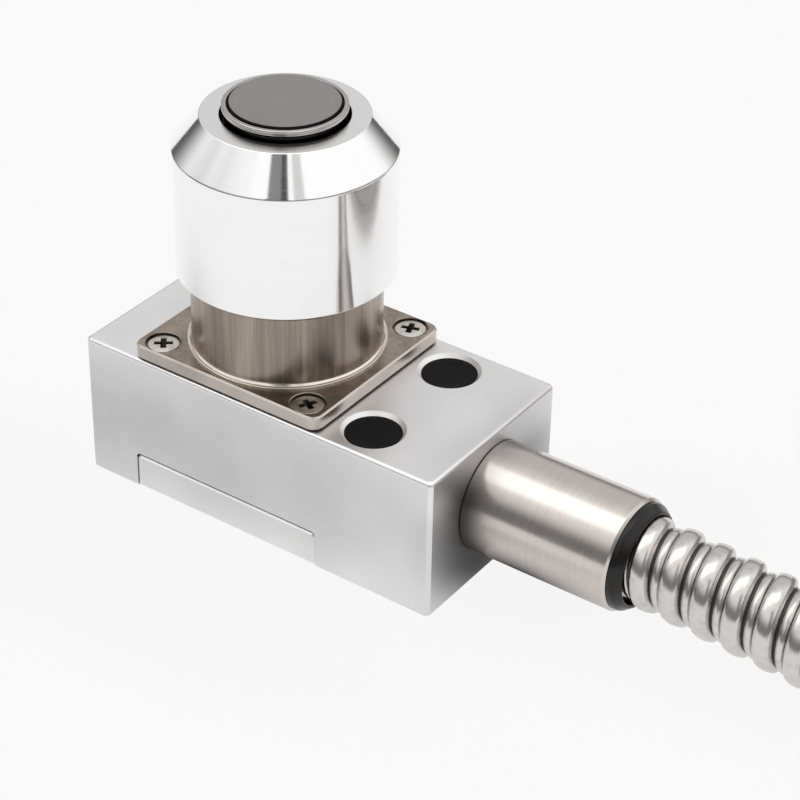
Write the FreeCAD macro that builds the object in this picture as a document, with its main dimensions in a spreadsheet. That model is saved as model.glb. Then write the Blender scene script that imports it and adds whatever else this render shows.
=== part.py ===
import FreeCAD, Part
import math
import os
import re

import Sketcher

# Tool setter: a sprung carbide contact in a flanged sensor housing, screwed to an aluminium
# base block, with the cable led out of the block's end in an armoured conduit.
# Frame: millimetres, +Z up, +X towards the cable. The origin is on the block's underside,
# midway between its two mounting holes.

# Driving sizes, in millimetres
SIZES = [
    # Base block and its mounting holes
    ("block_length", 78.0),
    ("block_height", 29.0),
    ("block_chamfer", 0.7),
    ("side_wall", 2.55),
    ("flange_side", 0.3),
    ("mount_inset", 17.8),
    ("mount_spacing", 23.5),
    ("mount_bore", 6.6),
    ("counterbore", 10.4),
    ("counterbore_depth", 9.0),
    ("counterbore_rim", 0.45),
    ("plug_recess", 0.8),
    ("plug_thickness", 2.6),
    ("fit_play", 0.05),
    # Channel and cover in the underside
    ("channel_length", 41.8),
    ("channel_height", 7.7),
    ("channel_corner", 0.9),
    ("cover_play", 0.12),
    ("cover_edge", 0.3),
    ("cover_seal", 0.5),
    ("seal_inset", 0.4),
    ("cover_screw_inset", 3.9),
    ("cover_screw_margin", 5.0),
    # Flange and its screws
    ("flange_gap", 1.45),
    ("flange_margin_x", 2.5),
    ("flange_margin_y", 0.8),
    ("flange_thickness", 2.6),
    ("flange_corner", 2.6),
    ("flange_edge", 0.3),
    ("flange_seal", 0.4),
    ("screw_rim_x", 1.0),
    ("screw_rim_y", 0.2),
    ("screw_shank", 2.9),
    ("screw_head", 5.4),
    ("screw_sink", 0.35),
    ("screw_grip", 7.0),
    ("screw_slot", 0.7),
    ("screw_slot_depth", 1.0),
    ("cross_rim", 0.2),
    # Housing barrel, neck and spigot
    ("housing_bore", 25.0),
    ("neck_wall", 3.5),
    ("shoulder_width", 1.5),
    ("land_width", 0.9),
    ("land_height", 0.4),
    ("housing_root", 0.4),
    ("guide_ledge", 1.0),
    ("spigot_wall", 2.0),
    ("spigot_depth", 6.4),
    ("spigot_ring_inset", 2.6),
    ("shoulder_height", 26.0),
    ("neck_height", 8.0),
    ("crown_thickness", 6.0),
    ("seal_cord", 1.0),
    ("cap_seal_cord", 1.6),
    ("groove_play", 0.1),
    # Cap
    ("cap_rise", 19.6),
    ("cap_skirt", 10.8),
    ("cap_wall", 2.4),
    ("cap_cone_height", 6.2),
    ("cap_land", 2.8),
    ("cap_plate", 5.0),
    ("cap_lip", 0.7),
    ("cap_play", 0.1),
    ("skirt_play", 0.3),
    # Contact, plunger and the parts on its stem
    ("contact_stroke", 5.0),
    ("contact_rise", 2.3),
    ("contact_diameter", 20.0),
    ("contact_thickness", 2.2),
    ("contact_proud", 0.6),
    ("contact_edge", 0.15),
    ("contact_ring_width", 0.45),
    ("contact_ring_drop", 0.15),
    ("contact_lip", 0.65),
    ("head_gap", 0.9),
    ("stem_diameter", 8.0),
    ("stem_play", 0.03),
    ("stem_gap", 1.0),
    ("bush_wall", 2.5),
    ("bush_length", 10.0),
    ("bush_flange_width", 2.0),
    ("bush_flange_thickness", 1.2),
    ("collar_margin", 0.95),
    ("collar_thickness", 3.0),
    ("stop_gap", 0.05),
    ("guide_rise", 4.0),
    ("guide_thickness", 3.0),
    ("circlip_thickness", 1.2),
    ("circlip_depth", 0.8),
    ("circlip_grip", 1.2),
    ("spring_room", 0.95),
    ("spring_wire", 1.1),
    ("spring_turns", 5.5),
    ("boot_wall", 0.8),
    ("boot_bead", 1.2),
    ("boot_room", 2.0),
    ("boot_clamp_width", 2.8),
    ("boot_gap", 0.15),
    # Switch: blade, light barrier and board
    ("blade_width", 6.0),
    ("blade_thickness", 0.8),
    ("blade_grip", 4.0),
    ("blade_play", 0.7),
    ("board_play", 0.8),
    ("board_thickness", 1.6),
    ("board_drop", 21.4),
    ("post_diameter", 5.0),
    ("post_inset", 4.1),
    ("board_screw_shank", 1.9),
    ("board_screw_head", 3.8),
    ("board_screw_head_height", 1.3),
    ("interrupter_length", 12.0),
    ("interrupter_width", 6.0),
    ("interrupter_height", 10.0),
    ("interrupter_slot", 3.0),
    ("interrupter_floor", 2.8),
    ("terminal_length", 3.8),
    ("terminal_width", 9.6),
    ("terminal_height", 4.0),
    ("terminal_gap", 0.8),
    ("terminal_shift", 1.8),
    ("wire_diameter", 1.0),
    # Cable, its tube and the conduit
    ("cable_diameter", 5.0),
    ("cable_seal_wall", 1.0),
    ("cable_reach", 0.5),
    ("cable_room", 0.5),
    ("cable_seal_length", 9.0),
    ("tube_height", 15.8),
    ("tube_length", 29.3),
    ("tube_wall", 1.9),
    ("tube_margin", 0.4),
    ("tube_floor", 6.0),
    ("tube_edge", 0.9),
    ("tube_foot_edge", 0.4),
    ("tube_spigot", 12.0),
    ("tube_spigot_length", 10.0),
    ("tube_washer", 0.4),
    ("ferrule_length", 14.5),
    ("conduit_diameter", 16.5),
    ("conduit_ring_wall", 1.7),
    ("conduit_ring_width", 1.9),
    ("conduit_ring_edge", 0.5),
    ("conduit_ring_play", 0.15),
    # Connector
    ("connector_length", 26.0),
    ("connector_neck_drop", 1.7),
    ("connector_neck_length", 6.0),
    ("connector_nut_length", 14.0),
    ("connector_nut_gap", 0.8),
    ("connector_wall", 2.0),
    ("connector_insert_length", 9.0),
    ("connector_grip", 0.7),
    ("pin_diameter", 1.0),
    ("pin_circle", 5.0),
    ("pin_length", 3.8),
    ("nut_groove", 1.2),
]

# Diameters, heights and places that follow from the driving sizes
LEVELS = [
    ("guide_bore", "housing_bore + 2 * guide_ledge"),
    ("circlip_groove", "guide_bore + 2 * circlip_depth"),
    ("spigot_diameter", "guide_bore + 2 * spigot_wall"),
    ("neck_diameter", "housing_bore + 2 * neck_wall"),
    ("housing_diameter", "neck_diameter + 2 * shoulder_width"),
    ("housing_land", "housing_diameter + 2 * land_width"),
    ("flange_length", "housing_land + 2 * flange_margin_x"),
    ("bored_width", "mount_spacing + counterbore + 2 * side_wall"),
    ("flanged_width", "housing_land + 2 * flange_margin_y + 2 * flange_side"),
    ("block_width", "max(bored_width; flanged_width)"),
    ("flange_width", "block_width - 2 * flange_side"),
    ("cap_diameter", "housing_diameter + 2 * skirt_play + 2 * cap_wall"),
    ("pocket_radius", "contact_diameter / 2 + contact_ring_width"),
    ("head_radius", "pocket_radius + contact_lip"),
    ("cap_hole_radius", "head_radius + head_gap"),
    ("cap_face", "2 * cap_hole_radius + 2 * cap_land"),
    ("bush_diameter", "stem_diameter + 2 * bush_wall"),
    ("bush_flange", "bush_diameter + 2 * bush_flange_width"),
    ("spring_diameter", "stem_diameter + 2 * spring_room + spring_wire"),
    ("collar_diameter", "spring_diameter + spring_wire + 2 * collar_margin"),
    ("conduit_ring", "conduit_diameter + 2 * conduit_ring_play + 2 * conduit_ring_wall"),
    ("tube_diameter", "conduit_ring + 2 * tube_margin"),
    ("tube_bore_radius", "tube_diameter / 2 - tube_wall"),
    ("cable_bore", "cable_diameter + 2 * cable_seal_wall"),
    ("sensor_x", "-flange_length / 2 - flange_gap - counterbore_rim - counterbore / 2"),
    ("block_near_x", "mount_inset - block_length"),
    ("screw_countersink", "screw_head + 2 * screw_sink + 2 * fit_play"),
    ("countersink_depth", "(screw_countersink - screw_shank) / 2 - fit_play"),
    ("screw_cross", "screw_head - 2 * screw_slot_depth - 2 * cross_rim"),
    ("flange_span_x", "flange_length - screw_countersink - 2 * flange_edge - 2 * screw_rim_x"),
    ("flange_span_y", "flange_width - screw_countersink - 2 * flange_edge - 2 * screw_rim_y"),
    ("cover_span_x", "channel_length - 2 * cover_screw_inset"),
    ("cover_span_y", "block_width - 2 * cover_screw_margin"),
    ("flange_screw_reach", "flange_thickness + flange_seal + screw_grip - 2 * screw_sink"),
    ("cover_screw_reach", "channel_height + screw_grip - 2 * screw_sink"),
    ("flange_seat", "block_height + flange_seal"),
    ("flange_top", "flange_seat + flange_thickness"),
    ("land_top", "flange_top + land_height"),
    ("spigot_bottom", "flange_seat - spigot_depth"),
    ("spigot_ring_level", "spigot_bottom + spigot_ring_inset"),
    ("shoulder", "flange_top + shoulder_height"),
    ("neck_top", "shoulder + neck_height"),
    ("cap_ring_level", "(shoulder + neck_top) / 2"),
    ("cavity_top", "neck_top - crown_thickness"),
    ("cap_bottom", "shoulder - cap_skirt"),
    ("cap_top", "shoulder + cap_rise"),
    ("cone_base", "cap_top - cap_cone_height"),
    ("cap_ceiling", "cap_top - cap_plate"),
    ("contact_top", "cap_top + contact_rise"),
    ("contact_seat", "contact_top - contact_thickness"),
    ("lip_top", "contact_top - contact_proud"),
    ("head_under", "neck_top + contact_stroke + boot_room"),
    ("boot_crest", "head_under - 1.5 * boot_wall"),
    ("boot_valley", "neck_top + 1.5 * boot_wall"),
    ("bush_bottom", "neck_top - bush_length"),
    ("collar_top", "bush_bottom - stop_gap"),
    ("collar_bottom", "collar_top - collar_thickness"),
    ("guide_top", "flange_top + guide_rise"),
    ("guide_bottom", "guide_top - guide_thickness"),
    ("circlip_bottom", "guide_bottom - circlip_thickness"),
    ("cover_top", "channel_height - cover_seal"),
    ("board_bottom", "circlip_bottom - board_drop"),
    ("post_height", "board_bottom - cover_top"),
    ("board_top", "board_bottom + board_thickness"),
    ("board_radius", "spigot_diameter / 2 - board_play"),
    ("post_offset", "(board_radius - post_inset) * sqrt(0.5)"),
    ("slot_floor", "board_top + interrupter_floor"),
    ("interrupter_top", "board_top + interrupter_height"),
    ("stem_bottom", "interrupter_top + contact_stroke + stem_gap"),
    ("blade_tip", "slot_floor + contact_stroke + blade_play"),
    ("blade_top", "stem_bottom + blade_grip"),
    ("tube_start", "mount_inset + tube_washer"),
    ("tube_end", "tube_start + tube_length"),
    ("spigot_end_x", "tube_start - tube_spigot_length"),
    ("cable_start_x", "sensor_x + spigot_diameter / 2 + cable_reach"),
    ("plug_top", "block_height - plug_recess"),
    ("connector_diameter", "conduit_diameter - 2 * fit_play"),
    ("connector_neck", "connector_diameter - 2 * connector_neck_drop"),
    ("connector_insert", "connector_neck - 2 * connector_wall"),
    ("connector_neck_end", "connector_length + connector_neck_length"),
    ("connector_recess", "connector_neck_end - connector_insert_length / 2"),
    ("connector_nut_start", "connector_length + connector_nut_gap"),
    ("connector_nut_end", "connector_nut_start + connector_nut_length"),
    ("connector_insert_end", "connector_neck_end + connector_insert_length / 2"),
]

# Route of the conduit: reach from the tube's end, shift across, and drop below the tube's axis
CONDUIT_ROUTE = [
    (0.0, 0.0, 0.0),
    (6.0, 0.0, 0.0),
    (17.8, 0.1, 0.77),
    (40.5, 0.6, 2.81),
    (61.5, 0.1, 7.2),
]

# Coil: one layer on the floor, then its last turn rests on top of the first ones
COIL_CENTRE = (151.0, 97.0)
COIL_FIRST_RADIUS = 97.0
COIL_STEP = 17.2
COIL_FLOOR_TURNS = 1.25
COIL_TURNS = 2.12
COIL_LAYER_GAP = 0.5
COIL_RISE_ANGLE = 15.0

doc = FreeCAD.newDocument("tool_setter")
driving = doc.addObject("Spreadsheet::Sheet", "Sizes")
derived = doc.addObject("Spreadsheet::Sheet", "Levels")
SIZE_NAMES = {name for name, _ in SIZES}
LEVEL_NAMES = {name for name, _ in LEVELS}
WORD = re.compile(r"[a-z][a-z_]*[a-z]")


def bound(formula):
    """Write a formula of plain size names as an expression on the two sheets."""
    def cell(match):
        name = match.group(0)
        if name in SIZE_NAMES:
            return "Sizes." + name
        if name in LEVEL_NAMES:
            return "Levels." + name
        return name
    return WORD.sub(cell, formula)


for row, (alias, number) in enumerate(SIZES, start=1):
    driving.set("A%d" % row, alias)
    driving.set("B%d" % row, str(number))
    driving.setAlias("B%d" % row, alias)
doc.recompute()
for row, (alias, text) in enumerate(LEVELS, start=1):
    derived.set("A%d" % row, alias)
    derived.set("B%d" % row, "=" + bound(text))
    derived.setAlias("B%d" % row, alias)
    doc.recompute()


def size(name):
    """The present value of a driving size or of a level."""
    sheet = driving if name in SIZE_NAMES else derived
    return float(sheet.get(name))


def place(item, x=None, y=None, z=None):
    """Bind the place of a body or primitive to the sheets, and return it."""
    for axis, formula in (("x", x), ("y", y), ("z", z)):
        if formula is not None:
            item.setExpression("Placement.Base." + axis, bound(formula))
    return item


class Drawing:
    """A sketch on one of a body's origin planes, each point held by distances from the origin."""

    def __init__(self, body, name, plane, lift=None):
        self.sketch = body.newObject("Sketcher::SketchObject", name)
        support = [item for item in body.Origin.OriginFeatures if item.Role == plane]
        self.sketch.AttachmentSupport = [(support[0], "")]
        self.sketch.MapMode = "FlatFace"
        if lift is not None:
            self.sketch.setExpression("AttachmentOffset.Base.z", bound(lift))

    def hold(self, geometry, point, x, y, start):
        """Fix one point of the drawing by its two coordinates, each a formula."""
        for kind, formula, now, axis in (("DistanceX", x, start.x, -2), ("DistanceY", y, start.y, -1)):
            if formula == "0":
                self.sketch.addConstraint(Sketcher.Constraint("PointOnObject", geometry, point, axis))
            else:
                rule = Sketcher.Constraint(kind, -1, 1, geometry, point, now)
                number = self.sketch.addConstraint(rule)
                self.sketch.setExpression("Constraints[%d]" % number, bound(formula))

    def polygon(self, corners):
        """Closed outline of straight edges through the given corners."""
        first = self.sketch.GeometryCount
        count = len(corners)
        starts = []
        rough = size("block_height")
        for n in range(count):
            turn = 2 * math.pi * n / count
            starts.append(FreeCAD.Vector(math.cos(turn) + 2, math.sin(turn) + 2, 0) * rough)
        for n in range(count):
            self.sketch.addGeometry(Part.LineSegment(starts[n], starts[(n + 1) % count]))
        for n in range(count):
            following = first + (n + 1) % count
            self.sketch.addConstraint(Sketcher.Constraint("Coincident", first + n, 2, following, 1))
        for n, (x, y) in enumerate(corners):
            self.hold(first + n, 1, x, y, starts[n])
        return self

    def rectangle(self, low_x, low_y, high_x, high_y):
        """Upright rectangle between two corners."""
        return self.polygon([(low_x, low_y), (high_x, low_y), (high_x, high_y), (low_x, high_y)])

    def circle(self, x, y, radius):
        """Circle about a point."""
        number = self.sketch.GeometryCount
        rough = size("block_height")
        centre = FreeCAD.Vector(number + 1, 1, 0) * rough
        self.sketch.addGeometry(Part.Circle(centre, FreeCAD.Vector(0, 0, 1), rough))
        self.hold(number, 3, x, y, centre)
        rule = self.sketch.addConstraint(Sketcher.Constraint("Radius", number, rough))
        self.sketch.setExpression("Constraints[%d]" % rule, bound(radius))
        return self


def new_body(name):
    """A body whose label is the sub-part's name."""
    body = doc.addObject("PartDesign::Body", name)
    body.Label = name
    return body


def pad(body, name, drawing, length, both_ways=False):
    """Material from the drawing's plane along its normal."""
    feature = body.newObject("PartDesign::Pad", name)
    feature.Profile = drawing.sketch
    feature.setExpression("Length", bound(length))
    if both_ways:
        feature.SideType = "Symmetric"
    doc.recompute()
    return feature


def pocket(body, name, drawing, length, upward=False, both_ways=False):
    """A cut from the drawing's plane: against its normal, along it, or both ways."""
    feature = body.newObject("PartDesign::Pocket", name)
    feature.Profile = drawing.sketch
    feature.setExpression("Length", bound(length))
    feature.Reversed = upward
    if both_ways:
        feature.SideType = "Symmetric"
    doc.recompute()
    return feature


def revolve(body, name, drawing, axis="V_Axis", groove=False):
    """A turned form, or a turned cut, about one of the drawing's axes."""
    kind = "PartDesign::Groove" if groove else "PartDesign::Revolution"
    feature = body.newObject(kind, name)
    feature.Profile = drawing.sketch
    feature.ReferenceAxis = (drawing.sketch, [axis])
    feature.Angle = 360
    doc.recompute()
    return feature


def finish_edges(body, name, kind, amount, wanted):
    """Chamfer or fillet those edges of the body's last feature that pass a test."""
    base = body.Tip
    names = ["Edge%d" % n for n, edge in enumerate(base.Shape.Edges, start=1) if wanted(edge)]
    if not names:
        raise RuntimeError(body.Label + " has no edge for " + name)
    feature = body.newObject("PartDesign::" + kind, name)
    feature.Base = (base, names)
    feature.setExpression("Size" if kind == "Chamfer" else "Radius", bound(amount))
    doc.recompute()
    return feature


def close(one, other):
    """Equal within a modelling tolerance."""
    return abs(one - other) < 1e-4


def rim(radius, height):
    """Test for a level circular edge of this radius at this height."""
    def wanted(edge):
        curve = edge.Curve
        if not isinstance(curve, Part.Circle):
            return False
        return close(curve.Radius, radius) and close(curve.Center.z, height)
    return wanted


def upright_corner(edge):
    """Test for a straight vertical edge."""
    ends = [vertex.Point for vertex in edge.Vertexes]
    return len(ends) == 2 and close(ends[0].x, ends[1].x) and close(ends[0].y, ends[1].y)


def level_edge(height):
    """Test for an edge that lies all at one height."""
    def wanted(edge):
        return close(edge.BoundBox.ZMin, height) and close(edge.BoundBox.ZMax, height)
    return wanted


def across(edge, reach):
    """True where the whole edge lies on one of the two side faces."""
    box = edge.BoundBox
    return box.YLength < 1e-4 and close(abs(box.YMin), reach)


def turned(name, corners, axis="V_Axis"):
    """A body of revolution from its half section, in the XZ plane."""
    body = new_body(name)
    section = Drawing(body, name + "_section", "XZ_Plane").polygon(corners)
    revolve(body, name + "_turning", section, axis)
    return body


def corner_points(span_x, span_y):
    """Four places, one in each corner of a rectangle about the local origin."""
    points = []
    for along in ("-", ""):
        for across in ("-", ""):
            points.append((along + span_x + " / 2", across + span_y + " / 2"))
    return points


def shift(x, y):
    """Move a place from the sensor's axis into the block's own frame."""
    return "sensor_x + " + x, y


# Aluminium base block
def make_base_block():
    body = new_body("base_block")
    outline = Drawing(body, "block_outline", "XY_Plane")
    outline.rectangle("block_near_x", "-block_width / 2", "mount_inset", "block_width / 2")
    pad(body, "block", outline, "block_height")
    finish_edges(body, "block_edges", "Chamfer", "block_chamfer", lambda edge: True)

    channel = Drawing(body, "channel_section", "XZ_Plane")
    channel.rectangle("sensor_x - channel_length / 2", "-block_chamfer",
                      "sensor_x + channel_length / 2", "channel_height")
    pocket(body, "channel", channel, "block_width + 2 * block_chamfer", both_ways=True)
    ceiling = level_edge(size("channel_height"))
    finish_edges(body, "channel_corners", "Fillet", "channel_corner",
                 lambda edge: ceiling(edge) and edge.BoundBox.XLength < 1e-4)

    bore = Drawing(body, "sensor_bore_circle", "XY_Plane", "channel_height / 2")
    bore.circle("sensor_x", "0", "spigot_diameter / 2 + fit_play")
    pocket(body, "sensor_bore", bore, "block_height", upward=True)

    holes = Drawing(body, "mounting_holes", "XY_Plane", "block_height")
    for side in ("-", ""):
        holes.circle("0", side + "mount_spacing / 2", "mount_bore / 2")
    drilled = body.newObject("PartDesign::Hole", "counterbored_holes")
    drilled.Profile = holes.sketch
    doc.recompute()
    drilled.DepthType = "ThroughAll"
    drilled.Threaded = False
    drilled.HoleCutType = "Counterbore"
    drilled.HoleCutCustomValues = True
    drilled.setExpression("Diameter", bound("mount_bore"))
    drilled.setExpression("HoleCutDiameter", bound("counterbore"))
    drilled.setExpression("HoleCutDepth", bound("counterbore_depth"))
    doc.recompute()
    mouth = rim(size("counterbore") / 2, size("block_height"))
    finish_edges(body, "counterbore_rims", "Chamfer", "counterbore_rim", mouth)

    socket = Drawing(body, "tube_socket_circle", "YZ_Plane", "mount_inset")
    socket.circle("0", "tube_height", "tube_spigot / 2 + fit_play")
    pocket(body, "tube_socket", socket, "tube_spigot_length + tube_washer")
    passage = Drawing(body, "cable_passage_circle", "YZ_Plane", "mount_inset")
    passage.circle("0", "tube_height", "cable_bore / 2")
    pocket(body, "cable_passage", passage, "mount_inset - sensor_x")

    tapped = Drawing(body, "flange_tappings", "XY_Plane", "block_height")
    for x, y in corner_points("flange_span_x", "flange_span_y"):
        along, across = shift(x, y)
        tapped.circle(along, across, "screw_shank / 2 + fit_play")
    pocket(body, "flange_screw_holes", tapped, "screw_grip + flange_thickness / 2")
    lower = Drawing(body, "cover_tappings", "XY_Plane", "channel_height")
    for x, y in corner_points("cover_span_x", "cover_span_y"):
        along, across = shift(x, y)
        lower.circle(along, across, "screw_shank / 2 + fit_play")
    pocket(body, "cover_screw_holes", lower, "screw_grip", upward=True)
    return body


# Two rubber plugs that close the counterbores over the mounting screws
def make_hole_plug(name, side):
    body = new_body(name)
    disc = Drawing(body, name + "_circle", "XY_Plane").circle("0", "0", "counterbore / 2 - fit_play")
    pad(body, name + "_disc", disc, "plug_thickness")
    top = rim(size("counterbore") / 2 - size("fit_play"), size("plug_thickness"))
    finish_edges(body, name + "_edge", "Chamfer", "plug_recess / 2", top)
    return place(body, y=side + "mount_spacing / 2", z="plug_top - plug_thickness")


# Cover let into the channel across the block's underside, with two posts for the board
def make_bottom_cover():
    body = new_body("bottom_cover")
    half = "channel_length / 2 - cover_play"
    section = Drawing(body, "cover_section", "XZ_Plane")
    section.rectangle("-(" + half + ")", "0", half, "cover_top")
    pad(body, "cover_plate", section, "block_width", both_ways=True)
    top = level_edge(size("cover_top"))
    finish_edges(body, "cover_corners", "Fillet", "channel_corner",
                 lambda edge: top(edge) and edge.BoundBox.XLength < 1e-4)
    foot = level_edge(0)
    finish_edges(body, "cover_foot", "Chamfer", "block_chamfer",
                 lambda edge: foot(edge) and edge.BoundBox.YLength < 1e-4)
    side = size("block_width") / 2
    finish_edges(body, "cover_edges", "Chamfer", "cover_edge",
                 lambda edge: across(edge, side) and edge.BoundBox.ZMax > size("channel_height") / 2)
    posts = Drawing(body, "board_posts", "XY_Plane", "cover_top")
    posts.circle("-post_offset", "post_offset", "post_diameter / 2")
    posts.circle("post_offset", "-post_offset", "post_diameter / 2")
    pad(body, "posts", posts, "post_height")
    threads = Drawing(body, "post_tappings", "XY_Plane", "board_bottom")
    threads.circle("-post_offset", "post_offset", "board_screw_shank / 2 + fit_play")
    threads.circle("post_offset", "-post_offset", "board_screw_shank / 2 + fit_play")
    pocket(body, "post_holes", threads, "post_height + board_thickness")
    holes = Drawing(body, "cover_screw_circles", "XY_Plane")
    for x, y in corner_points("cover_span_x", "cover_span_y"):
        holes.circle(x, y, "screw_shank / 2 + fit_play")
    pocket(body, "cover_screw_clearance", holes, "cover_top", upward=True)
    mouth = rim(size("screw_shank") / 2 + size("fit_play"), 0)
    finish_edges(body, "cover_countersinks", "Chamfer", "countersink_depth", mouth)
    return place(body, x="sensor_x")


# Flat seals: one over the cover, one under the sensor's flange
def make_flat_seal(name, length, width, thickness, spans, seat, corner=None):
    body = new_body(name)
    outline = Drawing(body, name + "_outline", "XY_Plane")
    along = "(" + length + ") / 2"
    sideways = "(" + width + ") / 2"
    outline.rectangle("-" + along, "-" + sideways, along, sideways)
    pad(body, name + "_sheet", outline, thickness)
    if corner is not None:
        half = (float(body.Shape.BoundBox.XLength)) / 2
        finish_edges(body, name + "_corners", "Fillet", corner,
                     lambda edge: upright_corner(edge) and close(abs(edge.CenterOfMass.x), half))
    holes = Drawing(body, name + "_holes", "XY_Plane")
    holes.circle("0", "0", "spigot_diameter / 2 + fit_play")
    for x, y in corner_points(*spans):
        holes.circle(x, y, "screw_shank / 2 + fit_play")
    pocket(body, name + "_openings", holes, thickness, upward=True)
    return place(body, x="sensor_x", z=seat)


def seal_groove(body, name, radius, cord, height):
    """Square groove for a round rubber ring."""
    section = Drawing(body, name + "_section", "XZ_Plane")
    half = "(" + cord + " / 2 + groove_play)"
    section.rectangle(radius + " - " + cord + " - fit_play", height + " - " + half,
                      radius + " + " + cord, height + " + " + half)
    revolve(body, name, section, groove=True)


def outside(edge, reach):
    """True where the whole edge lies further from the barrel's axis than a radius."""
    return min(math.hypot(vertex.X, vertex.Y) for vertex in edge.Vertexes) > reach


# Stainless sensor housing: square flange, turned barrel and the spigot in the block's bore
def make_sensor_housing():
    body = new_body("sensor_housing")
    barrel = Drawing(body, "barrel_section", "XZ_Plane")
    barrel.polygon([
        ("0", "spigot_bottom"),
        ("spigot_diameter / 2", "spigot_bottom"),
        ("spigot_diameter / 2", "flange_top"),
        ("housing_land / 2", "flange_top"),
        ("housing_land / 2", "land_top - land_height / 2"),
        ("housing_land / 2 - land_height / 2", "land_top"),
        ("housing_diameter / 2 + housing_root", "land_top"),
        ("housing_diameter / 2", "land_top + housing_root"),
        ("housing_diameter / 2", "shoulder"),
        ("neck_diameter / 2", "shoulder"),
        ("neck_diameter / 2", "neck_top"),
        ("0", "neck_top"),
    ])
    revolve(body, "barrel", barrel)
    outline = Drawing(body, "flange_outline", "XY_Plane", "flange_seat")
    outline.rectangle("-flange_length / 2", "-flange_width / 2", "flange_length / 2", "flange_width / 2")
    pad(body, "flange", outline, "flange_thickness")
    half = size("flange_length") / 2
    finish_edges(body, "flange_corners", "Fillet", "flange_corner",
                 lambda edge: upright_corner(edge) and close(abs(edge.CenterOfMass.x), half))
    top = level_edge(size("flange_top"))
    reach = size("housing_land") / 2 + 0.01
    finish_edges(body, "flange_edges", "Chamfer", "flange_edge",
                 lambda edge: top(edge) and outside(edge, reach))
    cavity = Drawing(body, "cavity_section", "XZ_Plane")
    cavity.polygon([
        ("0", "spigot_bottom - fit_play"),
        ("guide_bore / 2", "spigot_bottom - fit_play"),
        ("guide_bore / 2", "circlip_bottom"),
        ("circlip_groove / 2", "circlip_bottom"),
        ("circlip_groove / 2", "guide_bottom"),
        ("guide_bore / 2", "guide_bottom"),
        ("guide_bore / 2", "guide_top"),
        ("housing_bore / 2", "guide_top"),
        ("housing_bore / 2", "cavity_top"),
        ("bush_diameter / 2", "cavity_top"),
        ("bush_diameter / 2", "neck_top + fit_play"),
        ("0", "neck_top + fit_play"),
    ])
    revolve(body, "cavity", cavity, groove=True)
    seal_groove(body, "spigot_groove", "spigot_diameter / 2", "seal_cord", "spigot_ring_level")
    seal_groove(body, "neck_groove", "neck_diameter / 2", "cap_seal_cord", "cap_ring_level")
    holes = Drawing(body, "flange_screw_circles", "XY_Plane", "flange_top")
    for x, y in corner_points("flange_span_x", "flange_span_y"):
        holes.circle(x, y, "screw_shank / 2 + fit_play")
    pocket(body, "flange_screw_clearance", holes, "flange_thickness")
    mouth = rim(size("screw_shank") / 2 + size("fit_play"), size("flange_top"))
    finish_edges(body, "flange_countersinks", "Chamfer", "countersink_depth", mouth)
    return place(body, x="sensor_x")


# Aluminium cap seated on the barrel's shoulder, coned towards its flat top
def make_protective_cap():
    bore = "neck_diameter / 2 + cap_play"
    skirt = "housing_diameter / 2 + skirt_play"
    return place(turned("protective_cap", [
        ("cap_diameter / 2 - cap_lip", "cap_bottom"),
        ("cap_diameter / 2", "cap_bottom + cap_lip"),
        ("cap_diameter / 2", "cone_base"),
        ("cap_face / 2", "cap_top"),
        ("cap_hole_radius", "cap_top"),
        ("cap_hole_radius", "cap_ceiling"),
        (bore, "cap_ceiling"),
        (bore, "shoulder"),
        (skirt, "shoulder"),
        (skirt, "cap_bottom"),
    ]), x="sensor_x")


# Rubber rings in the grooves of the spigot and of the barrel's neck, eight-sided in section
def make_seal_ring(name, radius, cord, height):
    body = new_body(name)
    half = "(" + cord + " / 2)"
    flat = "(" + cord + " / 2 * tan(22.5))"
    middle = radius + " - " + half
    corners = []
    for across, up in ((half, flat), (flat, half), ("-" + flat, half), ("-" + half, flat),
                       ("-" + half, "-" + flat), ("-" + flat, "-" + half),
                       (flat, "-" + half), (half, "-" + flat)):
        corners.append((middle + " + " + across, up))
    section = Drawing(body, name + "_section", "XZ_Plane").polygon(corners)
    revolve(body, name + "_turning", section)
    return place(body, x="sensor_x", z=height)


# Flanged bronze bush in the barrel's crown, and the lower guide of the stem
def make_guides():
    bore = "stem_diameter / 2 + stem_play"
    bush = turned("guide_bush", [
        (bore, "bush_bottom"),
        ("bush_diameter / 2 - fit_play", "bush_bottom"),
        ("bush_diameter / 2 - fit_play", "cavity_top - bush_flange_thickness"),
        ("bush_flange / 2", "cavity_top - bush_flange_thickness"),
        ("bush_flange / 2", "cavity_top"),
        ("bush_diameter / 2 - fit_play", "cavity_top"),
        ("bush_diameter / 2 - fit_play", "neck_top"),
        (bore, "neck_top"),
    ])
    guide = turned("lower_guide", [
        (bore, "guide_bottom"),
        ("guide_bore / 2 - fit_play", "guide_bottom"),
        ("guide_bore / 2 - fit_play", "guide_top"),
        (bore, "guide_top"),
    ])
    return place(bush, x="sensor_x"), place(guide, x="sensor_x")


# Spring steel ring, open on one side, that holds the lower guide up against its step
def make_guide_circlip():
    ring = turned("guide_circlip", [
        ("guide_bore / 2 - circlip_grip", "circlip_bottom + fit_play"),
        ("circlip_groove / 2 - fit_play", "circlip_bottom + fit_play"),
        ("circlip_groove / 2 - fit_play", "guide_bottom"),
        ("guide_bore / 2 - circlip_grip", "guide_bottom"),
    ])
    ring.Tip.Angle = 325
    doc.recompute()
    return place(ring, x="sensor_x")


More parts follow.
